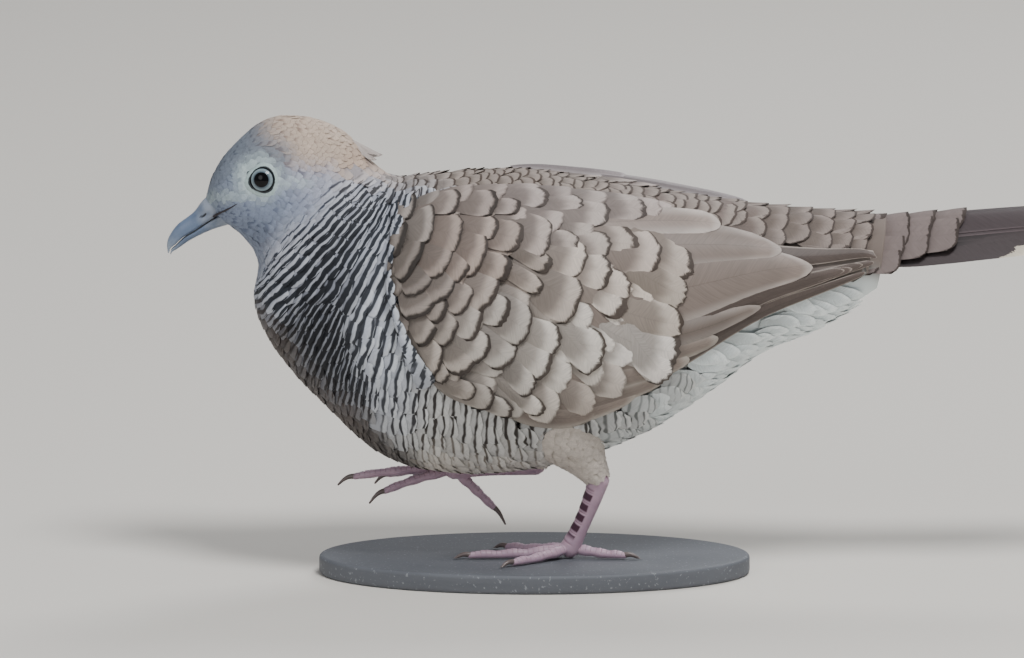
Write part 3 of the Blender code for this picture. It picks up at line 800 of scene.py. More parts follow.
def markings_group():
    """A feather's colours from its own ground, pale and dark, its bars, its barbs and its shaft."""
    inputs = {"Barb depth": 0.35, "Barb spacing": 0.22, "Waver": 0.03}
    inputs.update({"Shaft": 0.2, "Softness": 0.13})
    outputs = {"Color": "Color", "Height": "Float"}
    n = new_group("Feather markings", "ShaderNodeTree", inputs, outputs)
    given = n.add("NodeGroupInput").outputs
    t, short, along = n.split(n.field("vane"))
    start, width, period = n.split(n.field("marks"))
    length, half, reach = n.split(n.field("size"))
    seed = n.field("seed", "Fac")
    side = n.math("ABSOLUTE", t)
    waver = (n.noise(n.join(t * 2.2, along * 5.0, seed * 53.0), 1.0, 2.0) - 0.5) * given["Waver"]
    # barbs run from the shaft outward and towards the tip
    barb = (along * length - side * half * 0.9) / given["Barb spacing"]
    streak = n.noise(n.join(barb, side * 1.5, seed * 91.0 + n.math("SIGN", t)), 1.0, 2.0)
    from_tip = short + waver + (streak - 0.5) * 0.05
    phase = n.math("FRACT", (from_tip - start) / period) * period
    soft = given["Softness"] / length
    bar = n.ramp(phase, 0.0, soft * 2.0) * n.ramp(phase - width, soft * -1.0, soft, 1.0, 0.0)
    # painted shade: darker towards the root, where the row before lies over the feather
    painted_shade_near_root = n.ramp(from_tip * length, 3.0, 8.0, 1.0, 0.78)
    wash = n.ramp((from_tip - width) / n.math("MAXIMUM", reach, 0.01), 0.0, 1.0, 1.0, 0.0)
    painted = n.mix(wash, n.field("ground", "Color"), n.field("pale", "Color"))
    # a pale rim down both sides and round the tip
    rim_width, rim_soft, rim_amount = n.split(n.field("rim"))
    inward = n.math("MINIMUM", short * length, (1.0 - side) * half)
    inward = inward + (streak - 0.5) * (rim_soft * 0.6)
    rim = n.ramp(inward, rim_width, rim_width + (rim_soft + 0.01), 1.0, 0.0)
    painted = n.mix(rim * rim_amount, painted, n.field("pale", "Color"))
    # bars that run on from feather to feather, broken a little at each
    phase, octave, duty = n.split(n.field("bars"))
    where = n.scaled(n.here(), 1000.0)
    wander = n.noise(where, 0.15, 1.0) - 0.5
    crinkle = n.noise(n.vector("ADD", where, (31.0, 7.0, 3.0)), 0.5, 0.0) - 0.5
    phase = phase * n.math("POWER", 2.0, n.math("ROUND", octave))
    phase = phase + wander * 1.1 + crinkle * 0.22 + (seed - 0.5) * 0.16 + t * t * 0.08
    wave = n.math("COSINE", phase * (2 * math.pi))
    duty = duty + crinkle * 0.45 * n.ramp(duty, 0.0, 0.2)
    edge = n.math("COSINE", n.math("MAXIMUM", duty, 0.0) * math.pi)
    run = n.ramp(wave, edge - 0.45, edge + 0.4) * n.ramp(duty, 0.05, 0.16)
    painted = n.mix(n.math("MAXIMUM", bar, run), painted, n.field("dark", "Color"))
    shaft = n.ramp(side * half, 0.05, 0.16, 1.0, 0.0)
    # the barbs' streaks and the shaft, times the painted shade near the root
    shade = painted_shade_near_root * (0.71 + streak * 0.58) - shaft * given["Shaft"]
    out = n.add("NodeGroupOutput").inputs
    n.plug(out["Color"], n.mix(1.0, painted, n.join(shade, shade, shade), "MULTIPLY"))
    n.plug(out["Height"], streak * given["Barb depth"] + shaft * 0.3)
    return n.tree


def plain_material(name, roughness, specular, base=None):
    """(material, its nodes, the inputs of its Principled shader)."""
    made = bpy.data.materials.new(name)
    made.use_nodes = True
    made.node_tree.nodes.clear()
    n = Nodes(made.node_tree)
    shader = n.add("ShaderNodeBsdfPrincipled")
    shader.inputs["Roughness"].default_value = roughness
    shader.inputs["Specular IOR Level"].default_value = specular
    if base:
        shader.inputs["Base Color"].default_value = made.diffuse_color = (*base, 1.0)
    n.plug(n.add("ShaderNodeOutputMaterial").inputs["Surface"], shader.outputs[0])
    return made, n, shader.inputs


def bump(n, inputs, height, distance, strength):
    inner = {"Strength": strength, "Distance": distance * MM, "Height": height}
    n.plug(inputs["Normal"], n.fed("ShaderNodeBump", inner))


def feather_material(name, spacing, waver, shaft, roughness=0.62, relief=0.03, softness=0.13):
    """A finish for one group of feathers."""
    made, n, inputs = plain_material(name, roughness, 0.3)
    group = n.add("ShaderNodeGroup")
    group.node_tree = bpy.data.node_groups.get("Feather markings") or markings_group()
    values = {"Barb spacing": spacing, "Waver": waver, "Shaft": shaft, "Softness": softness}
    for key, value in values.items():
        group.inputs[key].default_value = value
    n.plug(inputs["Base Color"], group.outputs["Color"])
    bump(n, inputs, group.outputs["Height"], relief, 0.6)
    return made


# The coat's kinds of feather, and where each grows

# exposure, spacing, length, half width, lift at the tip, all in mm; then where the dark bar
# starts short of the tip, its width, the bars' period and the pale wash's reach, in mm; then
# the ground, pale and dark colours
# The forehead, face, throat, neck_dark, neck_low and breast colours are their own colours darkened
# as painted shade of the bird's front and underside.
KINDS = {
    "forehead": (0.95, 1, 3.8, 1.15, 0.03, -1, 0.9, 40, 0.9, "59616E", "717985", "454D5B"),
    "face": (1, 1.05, 3.8, 1.2, 0.03, -1, 0.9, 40, 0.9, "677187", "828DA2", "4E586F"),
    "throat": (1.1, 1.3, 3.9, 1.25, 0.03, -1, 0.9, 40, 1.2, "566075", "6F798C", "434C60"),
    "ear": (1.1, 1.3, 4, 1.2, 0.03, -1, 1, 40, 1.2, "7B7E90", "A0A3B4", "5D6072"),
    "crown": (1.15, 1.1, 4.4, 0.95, 0.03, -1, 1.05, 40, 1.5, "917D70", "BBA897", "6F625B"),
    "nape": (1.4, 1.5, 5, 1.25, 0.03, -1, 1.1, 40, 1.8, "8F7B6C", "B59F8D", "615650"),
    "neck": (1.6, 4, 5.2, 2.6, 0.1, -1, 0.9, 40, 0.8, "A9ACB8", "BABDC7", "2E3139"),
    "neck_dark": (1.65, 3.8, 5.2, 2.4, 0.1, -1, 0.9, 40, 0.8, "7D808B", "979AA3", "181B22"),
    "neck_low": (1.65, 3.8, 5.2, 2.4, 0.1, -1, 0.9, 40, 0.8, "676A73", "7C7F87", "13161C"),
    "neck_side": (1.85, 4.2, 5.6, 2.8, 0.1, -1, 0.9, 40, 0.8, "A0A4B0", "B6BAC4", "2B2F37"),
    "breast_side": (2.1, 4.6, 6.4, 3, 0.1, -1, 0.9, 40, 0.8, "B0B5C0", "C6CBD3", "383B42"),
    "flank": (2.9, 5, 8, 3.3, 0.1, -1, 0.9, 40, 0.8, "B4B4B3", "C4C4C2", "312C2A"),
    "breast": (2, 3.4, 5.8, 2.2, 0.08, -1, 1, 40, 1.6, "3F3835", "4D4542", "403633"),
    # the kind below is mostly painted shade of the underside behind the breast, with faint bars
    "underside_painted_shade": (2.4, 3.6, 6.2, 2.4, 0.1, -1, 0.9, 40, 0.8, "352C29", "4F4844", "211B18"),
    "belly": (2.2, 3, 7.5, 2, 0.15, -1, 0.9, 40, 2.5, "B7ADA1", "C8C0B6", "B4A99D"),
    "vent": (3, 2.2, 10.5, 1.5, 0.22, -1, 0.9, 40, 3, "D7E0E1", "EAF1F1", "DAE3E3"),
    "mantle": (2.6, 3.4, 6.6, 2.3, 0.15, -0.6, 1.15, 40, 2.2, "736961", "91867E", "4B4039"),
    "back": (3.3, 4.2, 8.4, 2.8, 0.18, -0.6, 1.25, 40, 2.6, "72655F", "91867E", "4A3F39"),
    "rump": (3.6, 4.2, 9, 2.9, 0.18, -0.6, 1.1, 40, 3, "695E57", "897D76", "473D38"),
}
# The bars that run on from feather to feather: the share that is dark, and their spacing in mm
KIND_BARS = {
    "neck": (0.43, 1.60),
    # neck_dark and neck_low have a wider dark share, partly their own bars and partly painted shade
    # of the front of the neck
    "neck_dark": (0.69, 1.60),
    "neck_low": (0.69, 1.60),
    "neck_side": (0.50, 1.70),
    "breast_side": (0.36, 2),
    "flank": (0.30, 2.8),
    # faint bars in the underside's painted shade
    "underside_painted_shade": (0.20, 2.4),
    "ear": (0.06, 1.8),
}
# Where each kind grows as seen from the side (x, height), and how far it reaches, in mm
GROWS = {
    "forehead": ((-70, 86, 6), (-66, 89, 5), (-74, 79, 5), (-62, 83, 5)),
    "face": ((-63, 74, 6), (-70, 75, 5), (-56, 73, 5)),
    "throat": ((-70, 67, 5), (-66, 62, 4), (-62, 68, 5)),
    "ear": ((-54, 77, 5),),
    "crown": ((-60, 90, 5), (-53, 88, 6), (-47, 86, 5), (-53, 83, 4)),
    "nape": ((-42, 82, 4), (-38, 79, 4), (-44, 81, 4)),
    "neck": ((-55, 66, 5), (-48, 72, 5), (-58, 61, 5), (-42, 75, 4)),
    "neck_dark": ((-50, 64, 6), (-45, 68, 6), (-52, 57, 7), (-40, 72, 4), (-46, 57, 5)),
    "neck_low": ((-52, 49, 6), (-49, 42, 6), (-44, 35, 4)),
    "neck_side": ((-41, 60, 6), (-37, 68, 7), (-60, 53, 4), (-34, 73, 5)),
    "breast_side": ((-38, 47, 7), (-30, 58, 9), (-36, 38, 7), (-28, 70, 6), (-33, 31, 5)),
    "flank": ((-28, 30, 8), (-18, 27, 8), (-8, 29, 9), (4, 30, 8), (15, 31, 5), (24, 38, 3.5)),
    "breast": (
        (-65.5, 48, 3.3), (-63, 43, 4.2), (-59.5, 37.5, 5), (-53.5, 31, 5.2),
        (-47.5, 25.5, 5), (-46.5, 29.5, 4.4),
    ),
    # where the underside's painted shade lies
    "underside_painted_shade": (
        (-39, 21.5, 4.8), (-33, 19.5, 3.5), (-58, 43, 3), (-53, 36.5, 3), (-42, 25.5, 4.2),
    ),
    "belly": ((-24, 18, 6), (-12, 16, 7), (0, 16, 7)),
    "vent": ((14, 20, 8), (26, 28, 9), (38, 38, 9), (50, 48, 9), (60, 53, 6)),
    "mantle": ((-30, 79, 5), (-34, 77.5, 3.5), (-20, 79, 7), (-8, 79, 7), (4, 77, 7)),
    "back": ((16, 75, 8), (28, 74, 8), (38, 72, 7)),
    "rump": ((47, 72, 7), (56, 71, 7), (65, 70, 7), (56, 65, 5), (64, 63, 5)),
}


GROWING = [(kind, place) for kind, places in GROWS.items() for place in places]


def kind_table():
    """(the kinds' numbers with colours as linear values, and each growing place's row in it)."""
    numbers = np.array([(*row[:9], *colours_of(row[9:])) for row in KINDS.values()])
    return numbers, np.array([list(KINDS).index(kind) for kind, _ in GROWING])


def kind_weights(points):
    """How much each growing place counts at points."""
    return nearness(points, [place for _, place in GROWING], 1.6)


def kinds_at(points):
    """The coat's numbers at points: a blend of the nearest kinds."""
    numbers, which = kind_table()
    weight = kind_weights(points)
    blend = weight @ numbers[which]
    # markings don't average, so they are those of the strongest kind
    blend[:, 5:9] = numbers[which[np.argmax(weight, axis=1)], 5:9]
    return blend


def fan(row, f):
    """The chord at which a row of feathers lies, a share f of the way from top to bottom."""
    top, bottom = (table_at(ROW_FAN, row, column) for column in (1, 2))
    return top + (bottom - top) * f


def fan_places(lie, row, turn):
    """Places on the body along rows, at turns from -1 to 1 round from the top."""
    return lie.places(fan(row, np.abs(turn)), np.where(turn < 0, 1 + turn / 2, turn / 2))


class BarField:
    """The bars of neck, breast and flank as lines across the body: at each point of a lie their
    phase, how many octaves off the wanted spacing they are, and how wide the dark part is."""

    def __init__(self, lie):
        na, nb = lie.points.shape[:2]
        chords = np.linspace(*lie.a_range, na)
        turns = np.linspace(*lie.b_range, nb)
        share = np.abs(2 * (turns - np.round(turns)))
        row, top, bottom = np.array(ROW_FAN).T
        rows = np.stack([np.interp(chords, top + (bottom - top) * f, row) for f in share], 1)
        kinds = np.array([KIND_BARS.get(kind, (0.0, 2.0)) for kind, _ in GROWING])
        numbers = (kind_weights(lie.points.reshape(-1, 3)) @ kinds).reshape(na, nb, 2)
        # lines are spaced as wanted half-way down the side, and doubled or halved elsewhere
        at = np.argmin(np.abs(share[: nb // 2 + 1] - 0.42))
        step = np.linalg.norm(np.diff(lie.points[:, at], axis=0), axis=1)
        wanted = (numbers[1:, at, 1] + numbers[:-1, at, 1]) / 2
        phase = np.concatenate([[0], np.cumsum(step / wanted)])
        phases = np.interp(rows, rows[:, at], phase)
        sa, sb = np.gradient(phases, axis=(0, 1))
        aa, ab, bb, det = metric(*np.gradient(lie.points, axis=(0, 1)))
        steep = np.maximum((bb * sa**2 - 2 * ab * sa * sb + aa * sb**2) / det, 1e-6)
        octave = np.log2(1 / np.sqrt(steep) / numbers[..., 1])
        self.values = np.stack([phases, np.clip(octave, -2, 1.4), numbers[..., 0]], -1)
        self.lie = lie
        self.near = KDTree(na * nb)
        for index, point in enumerate(lie.points.reshape(-1, 3)):
            self.near.insert(point, index)
        self.near.balance()

    def read(self, points):
        """The field at points near the lie."""
        values = self.values.reshape(-1, 3)
        found = np.empty((len(points), 3))
        for i, point in enumerate(points):
            near = self.near.find_n(point, 4)
            weight = np.array([1 / (1e-4 + distance**2) for _, _, distance in near])
            found[i] = weight @ values[[index for _, index, _ in near]] / weight.sum()
        return found


def body_feathers(lie, random):
    """Every feather of the body, as arrays: its row and turn, its tip's place and point, the
    normal and the way it grows there, how much of it shows, and its kind's numbers."""
    turns = np.linspace(-1, 1, 721)[:-1]  # from the top round by the right side, then the left
    found = []
    row, index = 0.3, 0
    while row < 18.4:
        points = lie.at(fan_places(lie, row, turns))
        ahead = lie.at(fan_places(lie, row + 0.05, turns))
        pace = np.linalg.norm(ahead - points, axis=-1) / 0.05
        exposure, spacing = kinds_at(points)[:, :2].T
        # step to the next row by what the widest part of the fan needs
        step = np.quantile(exposure / np.maximum(pace, 1e-3), 0.12)
        step = min(max(step, 0.02), 0.6)
        density = np.linalg.norm(np.roll(points, -1, axis=0) - points, axis=-1) / spacing
        thin = np.log2(np.maximum(exposure / np.maximum(pace * step, 1e-3), 1.0))
        thin = 2 ** np.round(thin).astype(int)
        count = np.cumsum(density) + (index % 2) * 0.5 + random.uniform(0, 0.3)
        new = np.floor(count) > np.floor(np.concatenate([[count[0] - density[0]], count[:-1]]))
        for i in np.where(new & (index % thin == 0))[0]:
            found.append((row, turns[i], max(step * pace[i] * thin[i], 0.6 * exposure[i])))
        row += step
        index += 1
    row, turn, exposed = np.array(found).T
    row = row + random.normal(0, 0.03, len(row)) * np.minimum(1, exposed / 3)
    turn = turn + random.normal(0, 0.004, len(row))
    places = fan_places(lie, row, turn)
    points, normal = lie.at(places), lie.normal(places)
    e = 0.01
    along_row = lie.at(fan_places(lie, row, turn + e)) - points
    along_row[np.abs(np.abs(turn) - 1) < 2 * e] = (0, -1, 0)
    along_row[np.abs(turn) < 2 * e] = (0, 1, 0)
    ahead = unit(np.cross(unit(along_row), normal))
    back = lie.at(fan_places(lie, row + 0.1, turn)) - points
    ahead *= np.sign((ahead * back).sum(-1))[:, None]
    return row, turn, places, points, normal, ahead, exposed, kinds_at(points)


def jitter(random, count, tones, amounts):
    """Ground, pale and dark colours, a little lighter or darker from feather to feather."""
    return {
        key: tone * np.exp(random.normal(0, 1, count) * amount)[:, None]
        for key, tone, amount in zip(("ground", "pale", "dark"), tones, amounts)
    }


# Pieces


@cache
def the_lie(name):
    """The surface of this name, such as wing_left, with its object."""
    kind, *side = name.split("_")
    make = {"body": body_lie, "tail": tail_lie, "wing": wing_lie, "thigh": thigh_lie}[kind]
    return make(*side).build()


@cache
def the_vane(kind):
    return vane_shape("vane_" + kind, *VANES[kind])


@cache
def the_bars():
    return BarField(the_lie("body"))


def clear_helpers():
    """Removes the hidden helpers once the pieces are made."""
    for helper in [each for each in bpy.data.objects if each.get(HELPER)]:
        bpy.data.objects.remove(helper)
    for kept in (body_tree, the_lie, the_vane, the_bars):
        kept.cache_clear()


# Columns, rows, where the tip's curve starts, how square the tip is, widths from root to tip,
# thickness, both sheets, shaft
VANES = {
    "small": (6, 4, 0.62, 0, (0.35, 0.75, 0.95, 1, 1, 1), 0.05, False, 0),
    "banded": (8, 4, 0.76, 0, (0.5, 0.85, 1, 1, 1, 1), 0.09, False, 0),
    "fluffy": (6, 5, 0.55, 0, (0.4, 0.85, 1, 1, 0.95, 0.9), 0.07, False, 0),
    "covert": (10, 6, 0.86, 0.8, (0.3, 0.7, 0.92, 1, 1, 1), 0.16, True, 0.04),
    "tertial": (8, 16, 0.83, 0, (0.4, 0.75, 0.95, 1, 1, 1, 0.98, 0.92, 0.84), 0.18, True, 0.08),
    "quill": (8, 16, 0.92, 0, (0.4, 0.75, 0.95, 1, 1, 1, 0.98, 0.94, 0.88), 0.18, True, 0.08),
}


def shell(rows):
    """(points, faces) of rings joined in order, with both ends capped."""
    rows = np.asarray(rows, float)
    count, size = rows.shape[:2]
    start, last = count * size, (count - 1) * size
    points = np.concatenate([rows.reshape(-1, 3), rows[[0, -1]].mean(axis=1)])
    faces = ring_faces(count, size)
    for k, after in enumerate([*range(1, size), 0]):
        faces += [(after, k, start), (last + k, last + after, start + 1)]
    return points, faces


def under_wing(x, z, margin, above=None):
    """True for a place on the body's side that the folded wing covers by this margin, or by
    another one at its upper edge."""
    rows = np.array(WING_ROWS)
    top = np.interp(x, rows[:, 0], rows[:, 1]) - (margin if above is None else above)
    low = np.interp(x, rows[:, 2], rows[:, 3]) + margin
    return (z < top) & (z > low) & (x > -35 + 2.5 * margin) & (x < 64 - 2.3 * margin)


def coat_pieces(row, turn):
    """Which piece each body feather belongs to."""
    chord, turn = fan(row, np.abs(turn)), np.abs(turn)
    piece = np.where(chord < 4.2, "head", "neck")
    piece = np.where(chord > 7.6, "breast", piece)
    low = (turn > 0.6) & (chord > 11.5) | (chord > 13.5) & (turn > 0.35)
    piece = np.where(low, "belly", piece)
    return np.where((turn < 0.42) & (chord > 7.6) & ~low, "back", piece)


HALO = "B9C9CB"


def round_the_eye(points):
    """How pale the small feathers are round each eye, and along a short line back from it."""
    x, z = points[:, 0] - EYE_AT[0], points[:, 2] - EYE_AT[1]
    away = np.hypot(x, z * 1.05)
    ring = np.exp(-((np.maximum(away - 3.1, 0) / 1.7) ** 2))
    line = np.exp(-(((z + 0.12 * x) / 1.1) ** 2)) * smooth(1.0, 4.0, x) * (1 - smooth(7.0, 13.5, x))
    seen_x, height = side_view(points).T
    lore = np.exp(-(((height - 75.2) / 1.1) ** 2)) * smooth(-77.0, -75.0, seen_x)
    lore = lore * (1 - smooth(-70.0, -66.0, seen_x))
    side = np.abs(points[:, 1]) > 3.0
    return np.where(side, np.maximum(0.9 * ring, 0.6 * line), 0) + 0.55 * lore * (1 - ring)


# Which nodes of flesh the skin stands for
FLESH = ("head", "neck", "trunk", "tail_coverts", "thigh_left", "thigh_right")


def add_body_feathers(finishes, fray):
    lie = the_lie("body")
    random = np.random.default_rng(11)
    row, turn, places, points, normal, ahead, exposed, numbers = body_feathers(lie, random)
    count = len(row)
    length = np.maximum(numbers[:, 2], 2.3 * exposed) * np.exp(random.normal(0, 0.05, count))
    half = numbers[:, 3] * np.exp(random.normal(0, 0.05, count))
    chord = fan(row, np.abs(turn))
    x, z = points[:, 0], points[:, 2]
    eyes = [np.linalg.norm(points - eye_frame(sign)[2], axis=1) for sign in SIDES.values()]
    keep = ~under_wing(x, z, 3.5) | (np.abs(turn) < 0.12)
    keep &= np.min(eyes, axis=0) > 3.1 + 0.6 * smooth(-1.5, 1.5, x - EYE_AT[0])
    ahead = unit(ahead + np.cross(normal, ahead) * random.normal(0, 0.10, count)[:, None])
    along = lie.steps(places, ahead * length[:, None])
    across = lie.steps(places, np.cross(normal, ahead) * half[:, None])
    depth = table_at(COAT_DEPTH, chord, 1)
    piece = coat_pieces(row, turn)
    halo = round_the_eye(points)
    halos = (round_the_eye(lie.at(places - 0.5 * along)), halo, 0.8 * halo)
    tones = [numbers[:, start : start + 3] for start in (9, 12, 15)]
    tones = [tone + (colour(HALO) - tone) * pale[:, None] for tone, pale in zip(tones, halos)]
    tones = jitter(random, count, tones, [np.where(piece == "head", 0.025, 0.05)] * 3)
    start, wide, period, reach = (numbers[:, 5:9] / length[:, None]).T
    seed = random.uniform(0, 1, count)
    under = under_wing(x, z, 0.8, 1.5) | under_wing(x, z, -3.2, 4.0) & (x > 8)
    step = np.interp(chord, (0, 4, 5, 8, 12, 18), (0.05, 0.06, 0.12, 0.14, 0.17, 0.18))
    rise = np.minimum(step * length / exposed, depth + 0.25) * np.where(under, 0.4, 1.0)
    base = np.where(under, -0.4, depth - rise - 0.05) - 0.08 * random.uniform(0, 1, count)
    lift = numbers[:, 4] * np.exp(random.normal(0, 0.45, count)) * np.where(under, 0.0, 1.0)
    camber = np.where(piece == "head", 0.06, np.where(x > 5, 0.10, 0.14))
    # a few feathers of the nape stand out and curl
    away = np.hypot(x + 41.0, side_view(points)[:, 1] - 82.0) + np.where(points[:, 1] > 0.5, 9, 0)
    curl = np.argsort(away)[:3]
    along[curl] *= (7.5 / length[curl])[:, None]
    across[curl] *= 0.6
    lift[curl] = 3.4, 2.6, 1.8
    for key in ("ground", "pale"):
        tones[key][curl] = colour("A89E98")
    slots = {"head": "head_plumage", "back": "covert_plumage"}
    for name in ("head", "neck", "breast", "belly", "back"):
        pick = keep & (piece == name)
        roll, bow = random.normal(0, 0.10, count), random.normal(0, 0.12, count)
        coat = Coat(lie, 3)
        coat.add(
            root=places - along,
            along=along,
            across=across,
            stack=(base, rise, lift),
            bend=(camber * half, roll, bow),
            seed=seed,
            size=(length, half, reach),
            marks=(start, wide, period),
            **tones,
        )
        coat.thin(pick)
        vane = {"belly": "fluffy", "head": "small", "back": "small"}.get(name, "banded")
        frayed = 0.35 if name == "belly" else fray
        finish = finishes.get(name, finishes["body"])
        slot = slots.get(name, "barred_plumage")
        coat.lay("coat_" + name, vane, finish, frayed, 5.0, slot, barred=the_bars())


def grid_places(rows, columns, u, v):
    """Places on the unwrap for rows of points, within u and v, and for a shell's two caps."""
    across, along = np.meshgrid(np.linspace(*v, columns), np.linspace(*u, rows))
    caps = [(u[0] - 0.004, sum(v) / 2), (u[1] + 0.004, sum(v) / 2)]
    return np.concatenate([np.stack([along.ravel(), across.ravel()], -1), caps])


def add_skin(material):
    """One skin under the coat: the body, the wings' beds and the thighs."""
    chords, turns = np.linspace(0.0, LAST_CHORD - 0.1, 170), round_turns(112)
    depths = table_at(COAT_DEPTH, chords, 1) + 0.05
    shells = [shell([body_points(a, turns, -depth) for a, depth in zip(chords, depths)])]
    points = shells[0][0]
    tones, bars = [kinds_at(points)[:, 9:18]], [the_bars().read(points)]
    maps = [grid_places(len(chords), len(turns), (0.01, 0.58), (0.01, 0.99))]
    for index, side in enumerate(SIDES):
        v = (0.02 + 0.5 * index, 0.48 + 0.5 * index)
        bed, thigh = wing_bed(side), thigh_tube(side)
        shells += [bed, thigh]
        maps += [grid_places(70, 80, (0.60, 0.86), v), grid_places(24, 32, (0.88, 0.98), v)]
        tones += [wing_tones(bed[0]), np.tile(colours_of(THIGH_COLOURS), (len(thigh[0]), 1))]
        bars.append(np.zeros((len(bed[0]) + len(thigh[0]), 3)))
    solid = join_shells(shells)
    whole = {"vane": (0.0, 0.6, 0.5), "size": (6.0, 3.0, 1.0), "marks": (-1.0, 0.0, 9.0)}
    values = {key: np.tile(value, (len(solid[0]), 1)) for key, value in whole.items()}
    for key, part in zip(("ground", "pale", "dark"), np.split(np.concatenate(tones), 3, axis=1)):
        values[key] = part
    values["bars"] = np.concatenate(bars)
    made = closed_piece("barred_plumage", FLESH, "skin", solid, material, **values)
    spread_map(made.data, np.concatenate(maps))


# Wings

# The dark tip edges of the wing's coverts and scapulars, seen from the side (x, height), from
# the front row back. Each line is one feather's edge, or a few side by side
TIP_EDGES = (
    (-36.5, 62, -37.5, 57.5), (-33.5, 69, -35, 64.5, -36.3, 60.5), (-31.5, 74, -33, 69.5),
    (-31, 64.4, -32.3, 60.2, -35.6, 55.6), (-27.7, 73.3, -29.2, 65),
    (-21.9, 69.8, -23.5, 63.5, -27.7, 57.3, -34.4, 52.9), (-22.5, 75.2, -23.5, 70.5),
    (-14.2, 69.8, -15.6, 65), (-16.5, 65, -18.6, 60.5, -20.4, 58.5),
    (-20.4, 62.3, -21.5, 58.8, -25.2, 54.2, -29.8, 50.4, -35, 48.8), (-14.8, 74.6, -15.6, 70.6),
    (-10, 73.3, -10.6, 70.6), (-9.4, 67.7, -11, 62.9, -13.5, 56.7),
    (-13.8, 56.5, -16.5, 53, -18.5, 50.5), (-19.8, 55.6, -22.3, 49.8, -25.6, 43.5, -28.3, 36.9),
    (-24.5, 53, -27.5, 47.5, -30.5, 43), (-4.8, 75.6, -4.4, 72), (-3.8, 69.2, -4.4, 65, -6.2, 61.5),
    (-3.3, 61.5, -5.2, 57.3), (-5.2, 56.7, -6.9, 53.5), (-11.5, 53.5, -14.2, 47.3),
    (-17.3, 51.5, -19.8, 45.2), (-6.9, 51, -10, 44.2, -14.6, 37.7),
    (-15.8, 45.2, -18.3, 40.6, -24.6, 36.9), (-24.8, 37.5, -27, 35.6), (2.4, 74.8, 2.6, 71.4),
    (1.5, 67.7, 1.9, 63.5), (3.5, 65, 3.1, 59.8, 1.5, 57.7), (2.1, 56.7, 0.8, 49.8, -0.6, 48.3),
    (-1.5, 48.3, -2.7, 42.1, -5.8, 36.9), (-6.2, 37.3, -9, 33.1), (-19, 35.8, -20.4, 32.7),
    (-15.2, 34.8, -16.7, 30.6), (-11.5, 32.7, -12.1, 29.6), (-4.8, 32.7, -5.8, 29.5),
    (7.3, 73.3, 8.3, 70.6, 7.1, 68.5), (8.1, 67.7, 9, 62.9), (9.2, 61.5, 7.7, 54.6),
    (7.7, 47.3, 7.3, 41.5, 3.5, 36.9), (15, 73.4, 16, 71.2, 15, 69),
    (14, 67.8, 14.2, 64.6, 13.5, 61.5), (12.5, 58.8, 12.9, 53.5, 10.2, 48.3),
    (18.5, 66, 19.2, 62.9, 18.1, 58.8), (26.5, 61.5, 25.8, 57.7, 24, 51), (24.2, 52, 23.6, 46.2),
    (23.5, 46.2, 22.3, 40), (22, 40.5, 18.6, 35.6),
)
# Barred feathers of the neck that lap over the front of the wing
SHOULDER_EDGES = (
    (-31, 76.5, -34, 71.5), (-33.2, 73.5, -35.8, 67), (-35.2, 68.5, -37.2, 62),
    (-36.6, 63.5, -37.6, 57), (-36.8, 58, -36.2, 51.5), (-36.4, 52.5, -34, 46.5),
    (-34.6, 47.5, -31.2, 42), (-31.8, 43, -27.6, 37.6), (-34, 75.5, -36.8, 69),
    (-36.3, 70, -38.2, 63.5), (-38, 64, -38.6, 57.5), (-38, 58, -37.6, 51.5),
    (-37.6, 52, -35.6, 46.5),
)
# Plain feathers under them, so that no bare wing shows between
UNDER_EDGES = (
    (-34, 72, -37, 58), (-27, 76, -36, 53), (-20, 76.5, -35, 45), (-13, 77, -31, 38.5),
    (-6, 77, -24, 35), (1, 76.5, -17, 31.5), (8, 75.5, -10.5, 28.5), (15, 74.5, -4, 28),
    (20, 73.5, 4, 29.5), (22, 72, 17, 55), (18, 56, 14, 44), (14.5, 45, 10.5, 33.5),
)
# Long quills by root, tip (x, height), half width and height over the bed, in mm, with how much
# paler than the plain brown each is. The tertials come last and lie on top
PRIMARIES = (
    ((20, 60), (62.9, 62.3), 2.3, 0, 1), ((0, 30.4), (60.6, 59.4), 1.7, 0, 0.94),
    ((0, 32.4), (62.3, 61.4), 2, 0.06, 1.05), ((-1, 34.2), (60, 61), 2.3, 0.16, 0.92),
    ((0, 36.4), (57.8, 60.2), 2.6, 0.26, 1.04), ((2, 38.6), (56.2, 59.9), 2.6, 0.36, 0.94),
)
SECONDARIES = (
    ((-26, 42), (6, 31), 3, -0.1, 0.98), ((-22, 40), (13, 34), 3, -0.05, 1.06),
    ((-18, 41), (19, 37.5), 3.2, 0, 0.97), ((-12, 44), (24, 41.5), 3.4, 0.05, 1.08),
    ((-6, 44), (30, 46), 3, 0.12, 0.94),
)
TERTIALS = (
    ((6, 43.3), (38.8, 52.6), 2.7, 0.46, 0.72), ((2, 51.5), (49.4, 60.7), 6.7, 0.56, 1),
    ((4, 64.5), (43.4, 63.6), 4.9, 0.7, 0.92), ((4, 69), (30.5, 68.6), 3.6, 0.8, 1.16),
)
RAISED_QUILLS = (
    ((4, 75.6), (36.5, 69.2), 1.3, 0.85, 0.95), ((-5, 76.5), (24, 71.5), 1.4, 1, 1.05),
    ((-13, 76.9), (11, 74.2), 1.4, 1.15, 0.98),
)
